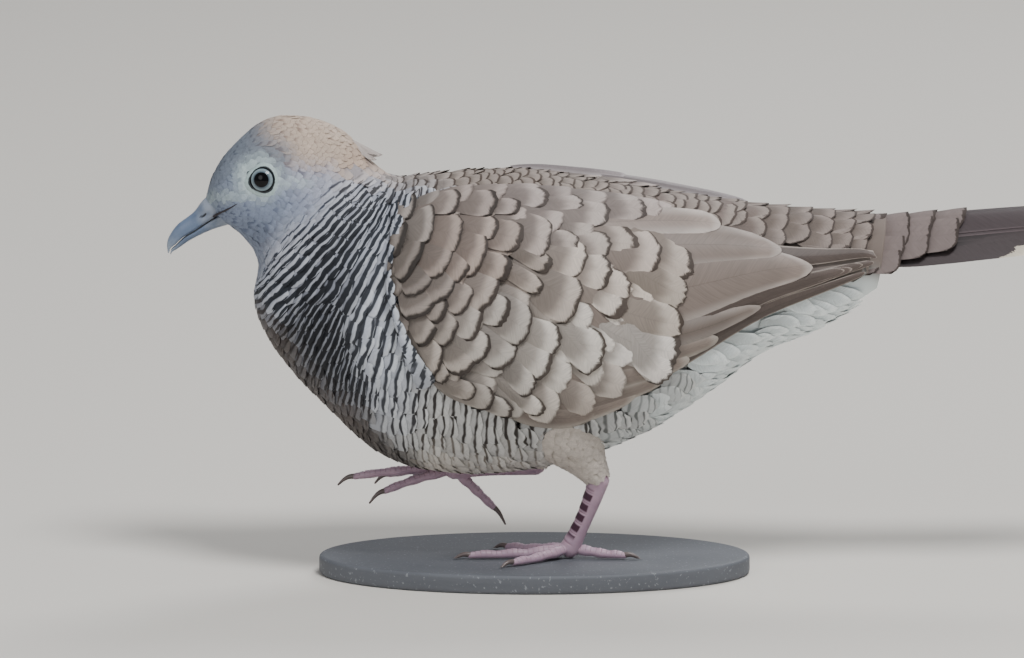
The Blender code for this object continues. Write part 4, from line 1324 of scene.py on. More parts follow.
# Ground, pale and dark colours of the wing by where they are (x, height) and how far they reach
WING_TONES = (
    # the first rows, at the front of the wing, are darkened as painted shade
    (-36, 60, 6, "49423D", "716963", "241F1C"),
    (-30, 70, 6, "554E49", "8D857F", "2A2421"),
    (-30, 52, 8, "524A45", "807771", "28221F"),
    (-25, 42, 8, "68605A", "9A9189", "2D2521"),
    (-18, 62, 9, "5F534D", "94867D", "2E2622"),
    (-16, 73, 6, "615751", "958983", "2F2723"),
    (-12, 45, 8, "706863", "A8A29B", "302722"),
    (-4, 56, 8, "60564F", "998E85", "322A24"),
    (-4, 71, 6, "665B56", "9C918C", "362E2A"),
    (4, 42, 8, "7E756E", "C6C0B8", "372E28"),
    (8, 58, 7, "776A63", "BCB1A7", "372E28"),
    (8, 71, 7, "6A5F5A", "9D938D", "39312D"),
    (10, 31, 8, "716761", "9E938A", "473D35"),
    (18, 42, 7, "978F88", "DAD4CE", "3B312B"),
    (16, 62, 6, "6C5E56", "A99D94", "3B312B"),
    (20, 52, 7, "706359", "ADA297", "3B312B"),
    (24, 70, 7, "6A5E5A", "9A8E89", "433935"),
)


def wing_tones(points):
    """Ground, pale and dark colours of the wing at points, as nine numbers each."""
    weight = nearness(points, [tone[:3] for tone in WING_TONES], 1.5)
    return weight @ np.array([colours_of(tone[3:]) for tone in WING_TONES])


def along_line(line, shares):
    """Points at shares of a line's length."""
    ways = np.concatenate([[0], np.cumsum(np.linalg.norm(np.diff(line, axis=0), axis=1))])
    shares = np.asarray(shares) * ways[-1]
    return np.stack([np.interp(shares, ways, column) for column in line.T], -1)


def edge_feathers(lie, edges, widest, length_by_x):
    """Feathers whose tips make these edges: (tip places, normals, ways, lengths, half widths,
    tip points)."""
    rows = []
    for edge in edges:
        line = np.reshape(edge, (-1, 2))
        whole = np.linalg.norm(np.diff(line, axis=0), axis=1).sum()
        count = max(1, round(whole / widest))
        for i in range(count):
            rows.append(along_line(line, [i / count, (i + 0.5) / count, (i + 1) / count]))
    near, middle, far = (np.array([lie.nearest(*row[k]) for row in rows]) for k in range(3))
    a, b, tips = lie.at(near), lie.at(far), lie.at(middle)
    normal = lie.normal(middle)
    ahead = unit(np.cross(unit(b - a), normal))
    ahead *= np.sign(ahead @ np.array((1.0, 0, -0.35)))[:, None]
    half = np.maximum(np.linalg.norm(b - a, axis=1) / 2 * 1.12, 2.0)
    middle = middle + lie.steps(middle, ahead * (half * 0.12)[:, None])
    return middle, normal, ahead, table_at(length_by_x, tips[:, 0], 1), half, tips


def add_coverts(coat, side, edges, widest, lengths, base, rise, fringe, swing, contrast=1.0):
    """Coverts on one wing, placed on the left wing's lie and mirrored by their places."""
    left = the_lie("wing_left")
    random = coat.random
    tip, normal, ahead, length, half, points = edge_feathers(left, edges, widest, lengths)
    count = len(tip)
    swing = random.normal(0, swing, count)[:, None]
    ahead = unit(ahead + np.cross(normal, ahead) * swing)
    length = length * np.exp(random.normal(0, 0.04, count))
    half = half * np.exp(random.normal(0, 0.05, count))
    wide = fringe * np.exp(random.normal(0, 0.25, count)) / length
    if fringe:
        ground, pale, dark = np.split(wing_tones(points), 3, axis=1)
        ground, pale = 0.62 * ground + 0.38 * pale, 1.2 * pale
    else:
        ground, pale, dark = np.split(kinds_at(points - (2.0, 0, 0))[:, 9:18], 3, axis=1)
    dark = ground + (dark - ground) * contrast
    reach = np.interp(points[:, 0], (-38, -24, -10, 10, 25), (1.4, 2.2, 3.0, 3.8, 4.6))
    base = base + random.normal(0, 0.04, count)
    grown = (left, tip, normal, ahead, length, half, reach / length, -SIDES[side])
    coat.grow(
        *grown,
        stack=(base, rise, 0.12 * np.exp(random.normal(0, 0.5, count))),
        bend=(0.10 * half, random.normal(0, 0.05, count), random.normal(0, 0.08, count)),
        seed=random.uniform(0, 1, count),
        marks=(-0.08 if fringe else -1.0, wide + 0.08, 9.0),
        rim=(0.0, 0.0, 0.0),
        **jitter(random, count, (ground, pale, dark), (0.08, 0.08, 0.10)),
    )


def add_quills(coat, side, quills, brown, pale, rim, roll=0.0):
    """Long feathers along one wing, with a pale rim. A roll lifts their lower side."""
    left = the_lie("wing_left")
    random = coat.random
    root, tip = (np.array([left.nearest(*quill[end]) for quill in quills]) for end in (0, 1))
    half, base, light = np.array([quill[2:] for quill in quills]).T
    count = len(quills)
    ways = left.at(tip) - left.at(root)
    middle = (root + tip) / 2
    aside = np.cross(left.normal(middle), unit(ways))
    tones = [tone * light[:, None] for tone in (brown, colour(pale), colour(QUILL_DARK))]
    coat.add(
        root=root,
        along=tip - root,
        across=left.steps(middle, aside * half[:, None]) * -SIDES[side],
        stack=(base - 0.25, 0.55, 0.05),
        bend=(0.05 * half, roll, 0.0),
        seed=random.uniform(0, 1, count),
        size=(np.linalg.norm(ways, axis=1), half, 0.01),
        marks=(-1.0, 0.0, 9.0),
        rim=rim,
        **jitter(random, count, tones, (0.03, 0.03, 0.05)),
    )


COVERT_LENGTHS = ((-36, 9.5), (-20, 13.0), (0, 17.0), (14, 24.0), (26, 30.0))
SHOULDER_LENGTHS = ((-40, 6.5), (0, 6.5))
WING_SEEDS = {"left": 21, "right": 57}


COVERT_LENGTHS = ((-36, 9.5), (-20, 13.0), (0, 17.0), (14, 24.0), (26, 30.0))
SHOULDER_LENGTHS = ((-40, 6.5), (0, 6.5))
WING_SEEDS = {"left": 21, "right": 57}
QUILL_DARK = "5A4C45"


def add_wing(side, finish, quill_finish, shoulder_finish, settings):
    """One folded wing: coverts and scapulars, barred shoulder, flight feathers and tertials."""
    coverts, flight, tertials, shoulder = (
        Coat(the_lie("wing_" + side), WING_SEEDS[side] + k) for k in range(4)
    )
    node = f"wing_{side}_"
    fringe = settings.covert_fringe / MM
    add_coverts(coverts, side, UNDER_EDGES, 6.0, COVERT_LENGTHS, -0.45, 0.95, 0.4, 0.08, 0.25)
    add_coverts(coverts, side, TIP_EDGES, 7.0, COVERT_LENGTHS, 0.10, 0.95, fringe, 0.06, 0.9)
    name = "coverts_" + side
    coverts.lay(name, "covert", finish, 0.13, 7.0, "wing_plumage", node + "coverts")
    add_coverts(shoulder, side, SHOULDER_EDGES, 3.0, SHOULDER_LENGTHS, 0.50, 0.60, 0.0, 0.05)
    name, bars = "coat_shoulder_" + side, the_bars()
    shoulder.lay(name, "banded", shoulder_finish, 0.12, 5.0, "barred_plumage", barred=bars)
    brown = tuple(settings.quill_brown)
    add_quills(flight, side, PRIMARIES, brown, "A3988F", (0.16, 0.2, 0.95))
    add_quills(flight, side, SECONDARIES, colour("877B73"), "ACA49B", (0.3, 1.8, 0.8))
    name = "flight_feathers_" + side
    flight.lay(name, "quill", quill_finish, 0.01, 2.0, "flight_feathers", node + "primaries")
    add_quills(tertials, side, TERTIALS, colour("8E8179"), "B0A69F", (0.3, 2.4, 0.9))
    if WING_LIFT[side]:
        rim = (0.3, 0.8, 0.9)
        add_quills(tertials, side, RAISED_QUILLS, colour("82797A"), "A9A1A1", rim, 1.0)
    name = "tertials_" + side
    tertials.lay(name, "tertial", quill_finish, 0.02, 2.0, "wing_plumage", node + "tertials")


def wing_bed(side):
    """The thin flesh and quill base under one wing's feathers, as (points, faces)."""
    lie = the_lie("wing_" + side)
    rows, shares = np.linspace(0.2, 10.3, 70), np.linspace(0.06, 0.94, 40)
    places = lie.places(*np.meshgrid(rows, shares, indexing="ij"))
    outer = lie.at(places) - lie.normal(places) * 0.55
    thin = np.interp(rows, (0.2, 1, 9, 10.3), (0.3, 0.8, 0.5, 0.25))[:, None, None]
    inner = outer - lie.normal(places) * thin
    rings = [np.concatenate([out, under[::-1]]) for out, under in zip(outer, inner)]
    return shell(rings)


# Tail

# Each rectrix of one side: how far its root and tip are out on the fan, its tip's x, its half
# width, its height under the ridge, and whether it has a white end
RECTRICES = (
    (0.06, 0.1, 133.2, 5.4, 0.75, 0), (0.16, 0.24, 131.5, 4.8, 0.55, 0),
    (0.28, 0.38, 126.5, 4.2, 0.35, 1), (0.4, 0.52, 118.5, 3.8, 0.15, 1),
    (0.5, 0.66, 110, 3.5, -0.05, 1), (0.6, 0.78, 101.5, 3.3, -0.25, 1),
)
TAIL_COVERT_COLOURS = ("5C504D", "786C69", "3B312D")
# Each row of coverts: its tips' x, how far they spread on the fan, and half how many
TAIL_COVERTS = ((61.5, 0.75, 4), (66.0, 0.9, 5), (71.0, 0.8, 4), (76.5, 0.7, 4), (83.0, 0.55, 3))


def tail_at(lie, x, share):
    """The tail's place at x and a share of its half width."""
    return lie.places(np.interp(x, [row[0] for row in TAIL], np.arange(len(TAIL))), share)


def add_tail(finish, covert_finish):
    """Twelve tail feathers, graduated and loosely fanned, under five rows of coverts."""
    lie = the_lie("tail")
    random = np.random.default_rng(5)
    rows = [(sign, *rectrix) for sign in (-1, 1) for rectrix in RECTRICES]
    sign, root_share, tip_share, tip_x, half, base, white = np.array(rows).T
    roots = tail_at(lie, np.full(len(rows), 53), sign * root_share)
    tips = tail_at(lie, tip_x, sign * tip_share)
    count = len(rows)
    ways = lie.at(tips) - lie.at(roots)
    length = np.linalg.norm(ways, axis=1)
    middle = (roots + tips) / 2
    side = np.cross(lie.normal(middle), unit(ways))
    outer = white[:, None] > 0
    ground = np.where(outer, colour("332C2D"), colour("4A4042"))
    ends = np.where(outer, colour("D9CFBD"), colour("655851"))
    coat = Coat(lie, 5)
    coat.add(
        root=roots,
        along=tips - roots,
        across=lie.steps(middle, side * half[:, None]),
        stack=(base + 0.04 * (sign > 0) - 0.35, 0.25, 0.0),
        bend=(0.05 * half, 0.0, 0.0),
        seed=random.uniform(0, 1, count),
        size=(length, half, 0.10),
        marks=(-0.3, 0.3 + np.where(white, 8.0, 0.8) / length, 9.0),
        rim=(0.15, 0.3, 0.7),
        **jitter(random, count, (ground, ground * 1.9, ends), (0.04, 0.04, 0.03)),
    )
    coat.lay("tail_feathers", "quill", finish, 0.01, 2.0, "flight_feathers", "tail")
    coverts = Coat(lie, 6)
    long, half = 17.0, 3.6
    for index, (tip_x, spread, wide) in enumerate(TAIL_COVERTS):
        shares = np.linspace(-spread, spread, 2 * wide + 1) + (index % 2) * spread / (2 * wide)
        tips_x = [tip_x + random.normal(0, 0.7) - 3.0 * abs(share) for share in shares]
        tip = tail_at(lie, tips_x, shares)
        count = len(tip)
        normal = lie.normal(tip)
        ahead = unit((1.0, 0, 0) - normal * normal[:, :1])
        coverts.grow(
            *(lie, tip, normal, ahead, long, half, 0.35),
            stack=(0.3 - 0.05 * index, 1.0, 0.1),
            bend=(0.1 * half, random.normal(0, 0.05, count), random.normal(0, 0.08, count)),
            seed=random.uniform(0, 1, count),
            marks=(-0.3, 0.3 + 0.6 / long, 9.0),
            **jitter(random, count, map(colour, TAIL_COVERT_COLOURS), (0.05, 0.05, 0.10)),
        )
    coverts.lay("tail_coverts_upper", "covert", covert_finish, 0.05, 4.0, "covert_plumage")


# Bill, eyes, legs and base

# Culmen (x, z), mouth line (x, z), lower edge (x, z) and half width, from the face to the tip
BILL = (
    (-72.6, 76.4, -69.2, 73.6, -69.6, 70, 2.8), (-76.2, 75.2, -73.3, 71.8, -72.2, 69.3, 2.5),
    (-78.4, 72.7, -76.2, 70, -75, 68.4, 2), (-80.4, 70.9, -78.6, 68.3, -77.7, 67.2, 1.65),
    (-82.4, 69.3, -80.9, 66.9, -80.2, 65.8, 1.35), (-84, 67, -82.7, 65.2, -82.3, 64.3, 0.95),
    (-84.5, 65.2, -83.6, 64.4, -83.3, 63.7, 0.6), (-84.3, 63.4, -83.9, 63.5, -83.7, 63.1, 0.3),
)
MOUTH_GAP = 0.34
NOSTRIL_AT = (-76.9, 71.6)
# From the bill back over the face
MOUTH_CORNER = ((-74.7, 71.5), (-73.9, 72.1), (-71.8, 73.5), (-69.5, 75.1))
CERE_AT = (-75.6, 73.0)

TARSUS_RADII = (2.2, 2.0, 1.8, 1.8, 2.1)
# Each toe's length, its heading, and how steeply it starts and ends, in degrees
TOES = {
    "left": {
        "middle": (21, 4, 7, 0), "inner": (15.5, -32, 7, 0),
        "outer": (15, 38, 7, 0), "hallux": (11.5, 172, 9, 0),
    },
    "right": {
        "middle": (21, 5, 0, 6), "inner": (15.5, -16, 9, 16),
        "outer": (15, 24, 2, 12), "hallux": (11.5, 176, 44, 40),
    },
}
TOE_RADIUS, TOE_TIP_RADIUS = 1.2, 0.75
TOE_PADS, TOE_PAD_SWELL, REST_SHARE = 3.5, 0.09, 0.85
CLAW_LENGTH, CLAW_RADIUS, CLAW_TIP_RADIUS, CLAW_CURL = 3.6, 0.62, 0.2, 1.1
SCUTE_LENGTH, SCUTE_STEP, TOE_SCUTE = 2.5, 0.17, 1.1


def join_shells(shells):
    """One (points, faces) of several closed shells."""
    points, faces, start = [], [], 0
    for some, their_faces in shells:
        points.append(some)
        faces += [tuple(index + start for index in face) for face in their_faces]
        start += len(some)
    return np.concatenate(points), faces


def mandible(upper, stations=64, segments=28):
    """One half of the bill as (points, faces), and how far along, how hollow by the nostril and
    how far inside the mouth each point is."""
    rings, marks = [], []
    arc = np.linspace(0, math.pi, segments)
    for at in np.linspace(0, len(BILL) - 1.02, stations):
        row = spline(BILL, at)
        mouth = np.array((row[2], 0, row[3]))
        edge = np.array((row[0], 0, row[1]) if upper else (row[4], 0, row[5]))
        reach = np.linalg.norm(edge - mouth)
        away = (edge - mouth) / reach
        start = mouth + away * MOUTH_GAP / 2
        reach = max(reach - MOUTH_GAP / 2, 0.12)
        across = row[6] * (1 if upper else 0.92) * np.cos(arc)
        height = reach * np.sin(arc) ** 0.8
        ring = start + height[:, None] * away + across[:, None] * np.array((0, 1.0, 0))
        nostril = np.zeros(segments)
        if upper:
            x, z = ring[:, 0], ring[:, 2]
            flank = np.abs(np.cos(arc))
            out = unit(circle(arc, np.array((0, 1.0, 0)), away))
            cere = ((x - CERE_AT[0]) / 2.3) ** 2 + ((z - CERE_AT[1]) / 1.3) ** 2
            waist = np.exp(-(((x + 79.2) / 1.2) ** 2)) * 0.12
            ahead, above = x - NOSTRIL_AT[0], z - NOSTRIL_AT[1]
            slit, over = ahead * 0.85 + above * 0.5, above * 0.85 - ahead * 0.5
            nostril = np.exp(-((slit / 1.0) ** 4) - (over / 0.24) ** 2) * (flank > 0.3)
            swell = 0.42 * np.exp(-cere) * flank**0.3
            ring = ring + out * (swell - 0.34 * nostril - waist)[:, None]
        under = across[::-1][1:-1, None] * np.array((0, 0.86, 0))
        under = start + under + away * 0.12
        rings.append(np.concatenate([ring, under]))
        mark = np.zeros((len(rings[-1]), 3))
        mark[:, 0] = at / (len(BILL) - 1)
        mark[:segments, 1] = nostril
        mark[segments:, 2] = 1.0
        marks.append(mark)
    return shell(rings), np.concatenate([*marks, [(0.0, 0, 0), (1.0, 0, 0)]])


def mouth_corner(sign):
    """The crease in which the mouth runs back over the face, as (points, faces). It carries painted
    shade.
    """
    rings = []
    turns = round_turns(12)
    (first_x, first_z), *_, (last_x, last_z) = MOUTH_CORNER
    ahead = unit(np.array((last_x - first_x, 0.0, last_z - first_z)))
    for share in np.linspace(0, 1, 14):
        x, z = spline(MOUTH_CORNER, share * (len(MOUTH_CORNER) - 1))
        place, normal = on_body(body_tree(), x, z, sign)
        aside = unit(np.cross(normal, ahead))
        radius = 0.22 * (1 - share**2) + 0.06
        ring = radius * circle(turns, aside, 0.7 * normal)
        rings.append(place + 0.32 * share**0.3 * normal + ring)
    return shell(rings)


def add_bill(material):
    """Both halves of the bill, with the corners of the mouth on the lower one."""
    upper, upper_marks = mandible(True)
    lower, marks = mandible(False)
    corners = [mouth_corner(sign) for sign in SIDES.values()]
    inside = [np.tile((0.0, 0.0, 1.0), (len(corner[0]), 1)) for corner in corners]
    marks = np.concatenate([marks, *inside])
    lower = join_shells([lower, *corners])
    piece = partial(closed_piece, "bill_horn")
    piece(["bill_upper"], "bill_upper_horn", upper, material, bill=upper_marks)
    piece(["bill_lower"], "bill_lower_horn", lower, material, bill=marks)


def bill_material(horn):
    """Blue-grey horn, paler at the tip, over a soft whitish cere, with painted shade in the
    nostril's slit and the mouth.
    """
    made, n, inputs = plain_material("Bill horn", 0.38, 0.45)
    share, nostril, inside = n.split(n.field("bill"))
    mottle = n.noise(n.here(), 500.0, 3.0)
    painted = n.mix(n.ramp(share + (mottle - 0.5) * 0.3, 0.12, 0.42), "8A929F", horn)
    painted = n.mix(n.ramp(share, 0.55, 0.9), painted, "8D99A9")
    painted = n.mix(n.ramp(mottle, 0.5, 0.75) * 0.25, painted, "414F68")
    # painted shade: the nostril's slit and the mouth's inner faces and crease are dark as the shade
    # in them
    painted = n.mix(n.ramp(nostril, 0.25, 0.7), painted, "22242B")
    n.plug(inputs["Base Color"], n.mix(n.ramp(inside, 0.2, 0.9), painted, "2A2428"))
    n.plug(inputs["Roughness"], n.ramp(share, 0.1, 0.6, 0.55, 0.33))
    bump(n, inputs, mottle, 0.10, 0.5)
    return made


def eye_frame(sign):
    """(centre of the eyeball, its axis, and the plumage's surface there) on one side."""
    place, normal = on_body(body_tree(), *EYE_AT, sign)
    return place - normal * (EYE_RADIUS - EYE_STANDS_PROUD), normal, place


def add_eyes(material):
    """Glossy eyeballs whose rings are painted by how far they are from the eye's axis."""
    polar = np.concatenate([np.linspace(0.01, 1.3, 40), np.linspace(1.36, math.pi - 0.02, 16)])
    heights = EYE_RADIUS * np.cos(polar) + 0.16 * np.exp(-((polar / 0.55) ** 2))
    radii = EYE_RADIUS * np.sin(polar)
    turns = round_turns(48)
    from_axis = np.repeat(np.where(polar < 1.5, radii, EYE_RADIUS), len(turns))
    from_axis = [*from_axis, 0.0, EYE_RADIUS]
    for side, sign in SIDES.items():
        centre, axis, _ = eye_frame(sign)
        ring = ring_round(axis, (1.0, 0, 0), turns)
        rings = [centre + axis * high + radius * ring for high, radius in zip(heights, radii)]
        names = ["eye_" + side], "eyeball_" + side
        closed_piece("eye", *names, shell(rings), material, from_axis=from_axis)


def eye_material(iris_colour):
    """Black pupil, slate iris that is paler at its outer rim, and the dark rim beyond."""
    made, n, inputs = plain_material("Eye", 0.06, 0.16)
    inputs["Coat Weight"].default_value = 0.12
    inputs["Coat Roughness"].default_value = 0.02
    r = n.field("from_axis", "Fac")
    iris = n.mix(n.ramp(r, 1.6, 2.1), "5A6871", iris_colour)
    iris = n.mix(n.noise(n.here(), 2600.0, 2.0) * 0.5, iris, "3A444C")
    painted = n.mix(n.ramp(r, 1.52, 1.62), "050507", iris)
    n.plug(inputs["Base Color"], n.mix(n.ramp(r, 2.24, 2.36), painted, "15181B"))
    return made


# Radius and height over the lie of each ring of skin round the eye, in mm
EYE_RINGS = (
    (2.36, 0.5), (2.37, 0.82), (2.4, 0.94), (2.46, 0.98), (2.54, 0.97), (2.64, 0.92), (2.78, 0.86),
    (2.95, 0.84), (3.15, 0.78), (3.3, 0.72), (3.5, 0.6), (3.7, 0.42), (3.95, 0.1), (3.95, -0.25),
    (3.3, -0.3), (2.36, -0.2),
)


def add_eye_rings(material):
    """The dark rim of the lids and the bare pale skin round each eye."""
    lie = the_lie("body")
    turns = round_turns(56)
    radii = [radius for radius, _ in EYE_RINGS]
    for side, sign in SIDES.items():
        place = lie.closest(lie.points - eye_frame(sign)[2])
        ways = ring_round(lie.normal(place), (0.0, 0, 1.0), turns)
        points = []
        for radius, height in EYE_RINGS:
            out = radius * (1 + 0.02 * np.sin(3 * turns + 0.6) * (radius / max(radii)))
            spots = np.tile(place, (len(turns), 1))
            spots = spots + lie.steps(spots, out[:, None] * ways)
            points.append(lie.at(spots) + lie.normal(spots) * height)
        solid = np.concatenate(points), ring_faces(len(radii), len(turns), closed=True)
        from_axis = np.repeat(radii, len(turns))
        name = "eye_ring_" + side
        closed_piece("head_plumage", (), name, solid, material, from_axis=from_axis)


def eye_ring_material(orbital):
    """Bare pale skin, with the dark rim of the lids inside it."""
    made, n, inputs = plain_material("Bare skin round the eye", 0.5, 0.4)
    grain = n.noise(n.here(), 1800.0, 2.0)
    rim = n.ramp(n.field("from_axis", "Fac") + (grain - 0.5) * 0.2, 2.60, 2.76, 1.0, 0.0)
    n.plug(inputs["Base Color"], n.mix(rim, n.mix(grain, "93A6A8", orbital), "23282C"))
    bump(n, inputs, grain, 0.12, 0.8)
    return made


def limb(path, radii, segments, front=(0, 0, 1.0), scutes=None, floor=None):
    """(points, faces) of a round-ended tube, and how far along it, how far to the front and how
    thick each point is. scutes raises overlapping plates on its front side."""
    ways = np.concatenate([[0], np.cumsum(np.linalg.norm(np.diff(path, axis=0), axis=1))])
    rings, marks = [], []
    turns = round_turns(segments)
    facing = np.clip(np.cos(turns), 0, 1) ** 0.5
    heads = unit(np.gradient(path, axis=0))
    last = len(path) - 1
    ends = [(math.cos(t), math.sin(t)) for t in np.linspace(0.25, 1.4, 3)]
    spots = [(0, wide, -push) for wide, push in ends[::-1]]
    spots += [(i, 1.0, 0.0) for i in range(len(path))]
    spots += [(last, wide, push) for wide, push in ends]
    for i, wide, push in spots:
        ahead, radius = heads[i], radii[i]
        fore = unit(np.asarray(front, float) - ahead * np.dot(front, ahead))
        around = np.full(segments, radius)
        if scutes:
            step = (ways[i] / scutes) % 1.0
            around += SCUTE_STEP * facing * (step**0.6 - 0.5) * min(1.0, radius)
        ring = (around * wide)[:, None] * circle(turns, fore, np.cross(ahead, fore))
        rings.append(path[i] + ahead * push * radius + ring)
        mark = [np.full(segments, ways[i]), np.cos(turns), np.full(segments, radius)]
        marks.append(np.stack(mark, -1))
    points, faces = shell(rings)
    if floor is not None:
        points[:, 2] = np.maximum(points[:, 2], floor)
    return (points, faces), np.concatenate([*marks, marks[0][:1], marks[-1][:1]])


def toe_line(side, toe):
    """(a toe's length, a function that gives points at distances along it and its claw)."""
    length, turn, pitch, tip_pitch = TOES[side][toe]
    steps = 8
    heading = math.radians(turn)
    path = [leg_joints(side)[2]]
    for i in range(steps):
        down = math.radians(pitch + (tip_pitch + 6 - pitch) * i / (steps - 1))
        flat = math.cos(down)
        aside = SIDES[side] * math.sin(heading) * flat
        way = np.array((-math.cos(heading) * flat, aside, -math.sin(down)))
        path.append(path[-1] + way * (length + CLAW_LENGTH) / steps)
    ways = np.linspace(0, length + CLAW_LENGTH, steps + 1)

    def at(distances):
        return np.stack([np.interp(distances, ways, column) for column in np.transpose(path)], -1)

    return length, at


def toe_and_claw(side, toe):
    """(the toe, its marks, its claw), with what rests on the base kept above it."""
    rests = side == "left"
    length, at = toe_line(side, toe)
    stations = np.linspace(0, length, 60)
    pads = 1 + TOE_PAD_SWELL * np.cos(2 * math.pi * TOE_PADS * stations / length)
    radii = (TOE_RADIUS + (TOE_TIP_RADIUS - TOE_RADIUS) / length * stations) * pads
    path = at(stations)
    tips = np.linspace(length - 0.7, length + CLAW_LENGTH, 16)
    share = np.clip((tips - length) / CLAW_LENGTH, 0, 1)
    claw_path = at(tips)
    if rests:
        path[:, 2] = np.maximum(path[:, 2], REST_SHARE * radii)
        claw_path[:, 2] = np.maximum(claw_path[:, 2], 1.05 * CLAW_RADIUS)
    claw_path[:, 2] += 0.3 * np.sin(math.pi * share) - CLAW_CURL * share**2
    claw_radii = CLAW_RADIUS + (CLAW_TIP_RADIUS - CLAW_RADIUS) * share**1.3
    solid, marks = limb(path, radii, 18, scutes=TOE_SCUTE, floor=0.0 if rests else None)
    claw, _ = limb(claw_path, claw_radii, 12, floor=0.02 if rests else None)
    return solid, marks, claw


def add_legs(leg_finish, claw_finish):
    """Bare tarsi and toes with their scutes and pads, and the claws."""
    shares = np.linspace(0, 1, 72)
    radii = np.array([spline(TARSUS_RADII, 4 * t) for t in shares])
    bow = np.sin(math.pi * shares)[:, None] * np.array((0.35, 0, 0))
    for side, front in (("left", (-1.0, 0, 0.15)), ("right", (-0.6, 0, 0.9))):
        _, heel, foot = leg_joints(side)
        path = heel + (foot - heel) * shares[:, None] + bow
        tarsus, marks = limb(path, radii, 24, front, SCUTE_LENGTH)
        marks[:, 2] = 3.0  # tells the tarsus from the toes
        shells, all_marks = [tarsus], [marks]
        for toe in TOES[side]:
            solid, marks, claw = toe_and_claw(side, toe)
            shells.append(solid)
            all_marks.append(marks)
            name = f"claw_{side}_{toe}"
            closed_piece("claw_horn", [name], name + "_horn", claw, claw_finish)
        marks = np.concatenate(all_marks)
        values = {"limb": marks, "stained": np.full(len(marks), float(side == "left"))}
        names = ["leg_" + side], "leg_skin_" + side
        closed_piece("leg_skin", *names, join_shells(shells), leg_finish, **values)


def leg_material(pink_skin):
    """Pink scaled skin, with the dark maroon plates down the front of the standing leg."""
    made, n, inputs = plain_material("Leg skin", 0.42, 0.45)
    along, facing, kind = n.split(n.field("limb"))
    where = n.here()
    mottle = n.noise(where, 420.0, 3.0)
    tarsus = n.ramp(kind, 2.5, 2.9)
    length = tarsus * (SCUTE_LENGTH - TOE_SCUTE) + TOE_SCUTE
    step = n.math("FRACT", along / length)
    groove = n.ramp(step, 0.0, 0.16, 1.0, 0.0) * n.ramp(facing, -0.1, 0.3)
    pink = n.mix(groove * 0.6, n.mix(mottle, "A2869A", pink_skin), "7A5660")
    plate = n.ramp(step, 0.15, 0.3) * n.ramp(step, 0.75, 0.95, 1.0, 0.0)
    on_front = n.ramp(facing + (mottle - 0.5) * 0.3, 0.08, 0.25)
    low = n.ramp(along, 1.5, 2.5) * n.ramp(along, 13.0, 14.5, 1.0, 0.0)
    maroon = plate * on_front * (low * tarsus * n.field("stained", "Fac"))
    n.plug(inputs["Base Color"], n.mix(maroon, pink, "3D1A30"))
    inputs["Subsurface Weight"].default_value = 0.08
    inputs["Subsurface Radius"].default_value = (0.0012, 0.0005, 0.0004)
    bump(n, inputs, n.noise(where, 2400.0, 2.0) * 0.3 - groove, 0.12, 0.8)
    return made


def claw_material():
    made, n, inputs = plain_material("Claw horn", 0.35, 0.5)
    mottle = n.noise(n.here(), 700.0, 2.0)
    n.plug(inputs["Base Color"], n.mix(mottle, "4A4140", "7B6D6A"))
    return made


THIGH_COLOURS = ("ADA499", "BEB5AC", "B7AEA3")


def thigh_tube(side):
    """The flesh of one thigh, as (points, faces)."""
    lie = the_lie("thigh_" + side)
    turns = np.linspace(0, 1, 33)[:-1]
    places = lie.places(*np.meshgrid(np.linspace(0.0, 1.0, 24), turns, indexing="ij"))
    return shell(lie.at(places) - lie.normal(places) * 0.2)


def add_thigh(side, finish):
    """Soft feathers down one thigh, over the skin's own tube."""
    lie = the_lie("thigh_" + side)
    random = np.random.default_rng(31 if side == "left" else 32)
    rows = []
    for index, a in enumerate(np.arange(0.02, 1.03, 0.065)):
        around = round(np.interp(a, (0, 1), (30, 12)))
        long, wide = np.interp(a, (0, 1), (7.5, 4.0)), np.interp(a, (0, 1), (1.7, 0.85))
        for k in range(around):
            b = (k + 0.5 * (index % 2)) / around + random.normal(0, 0.006)
            spot = (a + random.normal(0, 0.008), b % 1.0)
            sizes = (size * math.exp(random.normal(0, 0.08)) for size in (long, wide))
            rows.append((*spot, *sizes))
    a, b, length, half = np.array(rows).T
    count = len(rows)
    tip = lie.places(a, b)
    normal = lie.normal(tip)
    ahead = unit(lie.at(tip + (0.01, 0)) - lie.at(tip))
    ahead = unit(ahead + np.cross(normal, ahead) * random.normal(0, 0.12, count)[:, None])
    coat = Coat(lie, 1)
    coat.grow(
        *(lie, tip, normal, ahead, length, half, 0.5),
        stack=(0.1, np.interp(a, (0, 1), (0.7, 0.4)), 0.08),
        bend=(0.2 * half, random.normal(0, 0.1, count), random.normal(0, 0.12, count)),
        seed=random.uniform(0, 1, count),
        marks=(-0.3, 0.3, 9.0),
        **jitter(random, count, map(colour, THIGH_COLOURS), (0.04, 0.04, 0.04)),
    )
    coat.lay("coat_thigh_" + side, "fluffy", finish, 0.3, 5.0, "covert_plumage")


def add_base(material):
    """The oval base of honed slate, with its rim eased."""
    centre, half = (BASE_LOW + BASE_HIGH) / 2, (BASE_HIGH - BASE_LOW) / 2
    turns = round_turns(160)
    ease = 0.8
    rings = []
    for level, way in ((BASE_LOW[2], 1), (BASE_HIGH[2], -1)):
        for angle in np.radians(np.linspace(-90, 0, 6))[::way]:
            inward = ease * (1 - math.cos(angle))
            ring = circle(turns, (half[0] - inward, 0, 0), (0, half[1] - inward, 0))
            height = level + way * ease * (1 + math.sin(angle))
            rings.append(ring + (centre[0], centre[1], height) - SHIFT)
    base = ("stand_slate", ["stand_base"], "slate_base")
    for polygon in closed_piece(*base, shell(rings), material).data.polygons:
        polygon.use_smooth = abs(polygon.normal.z) < 0.995


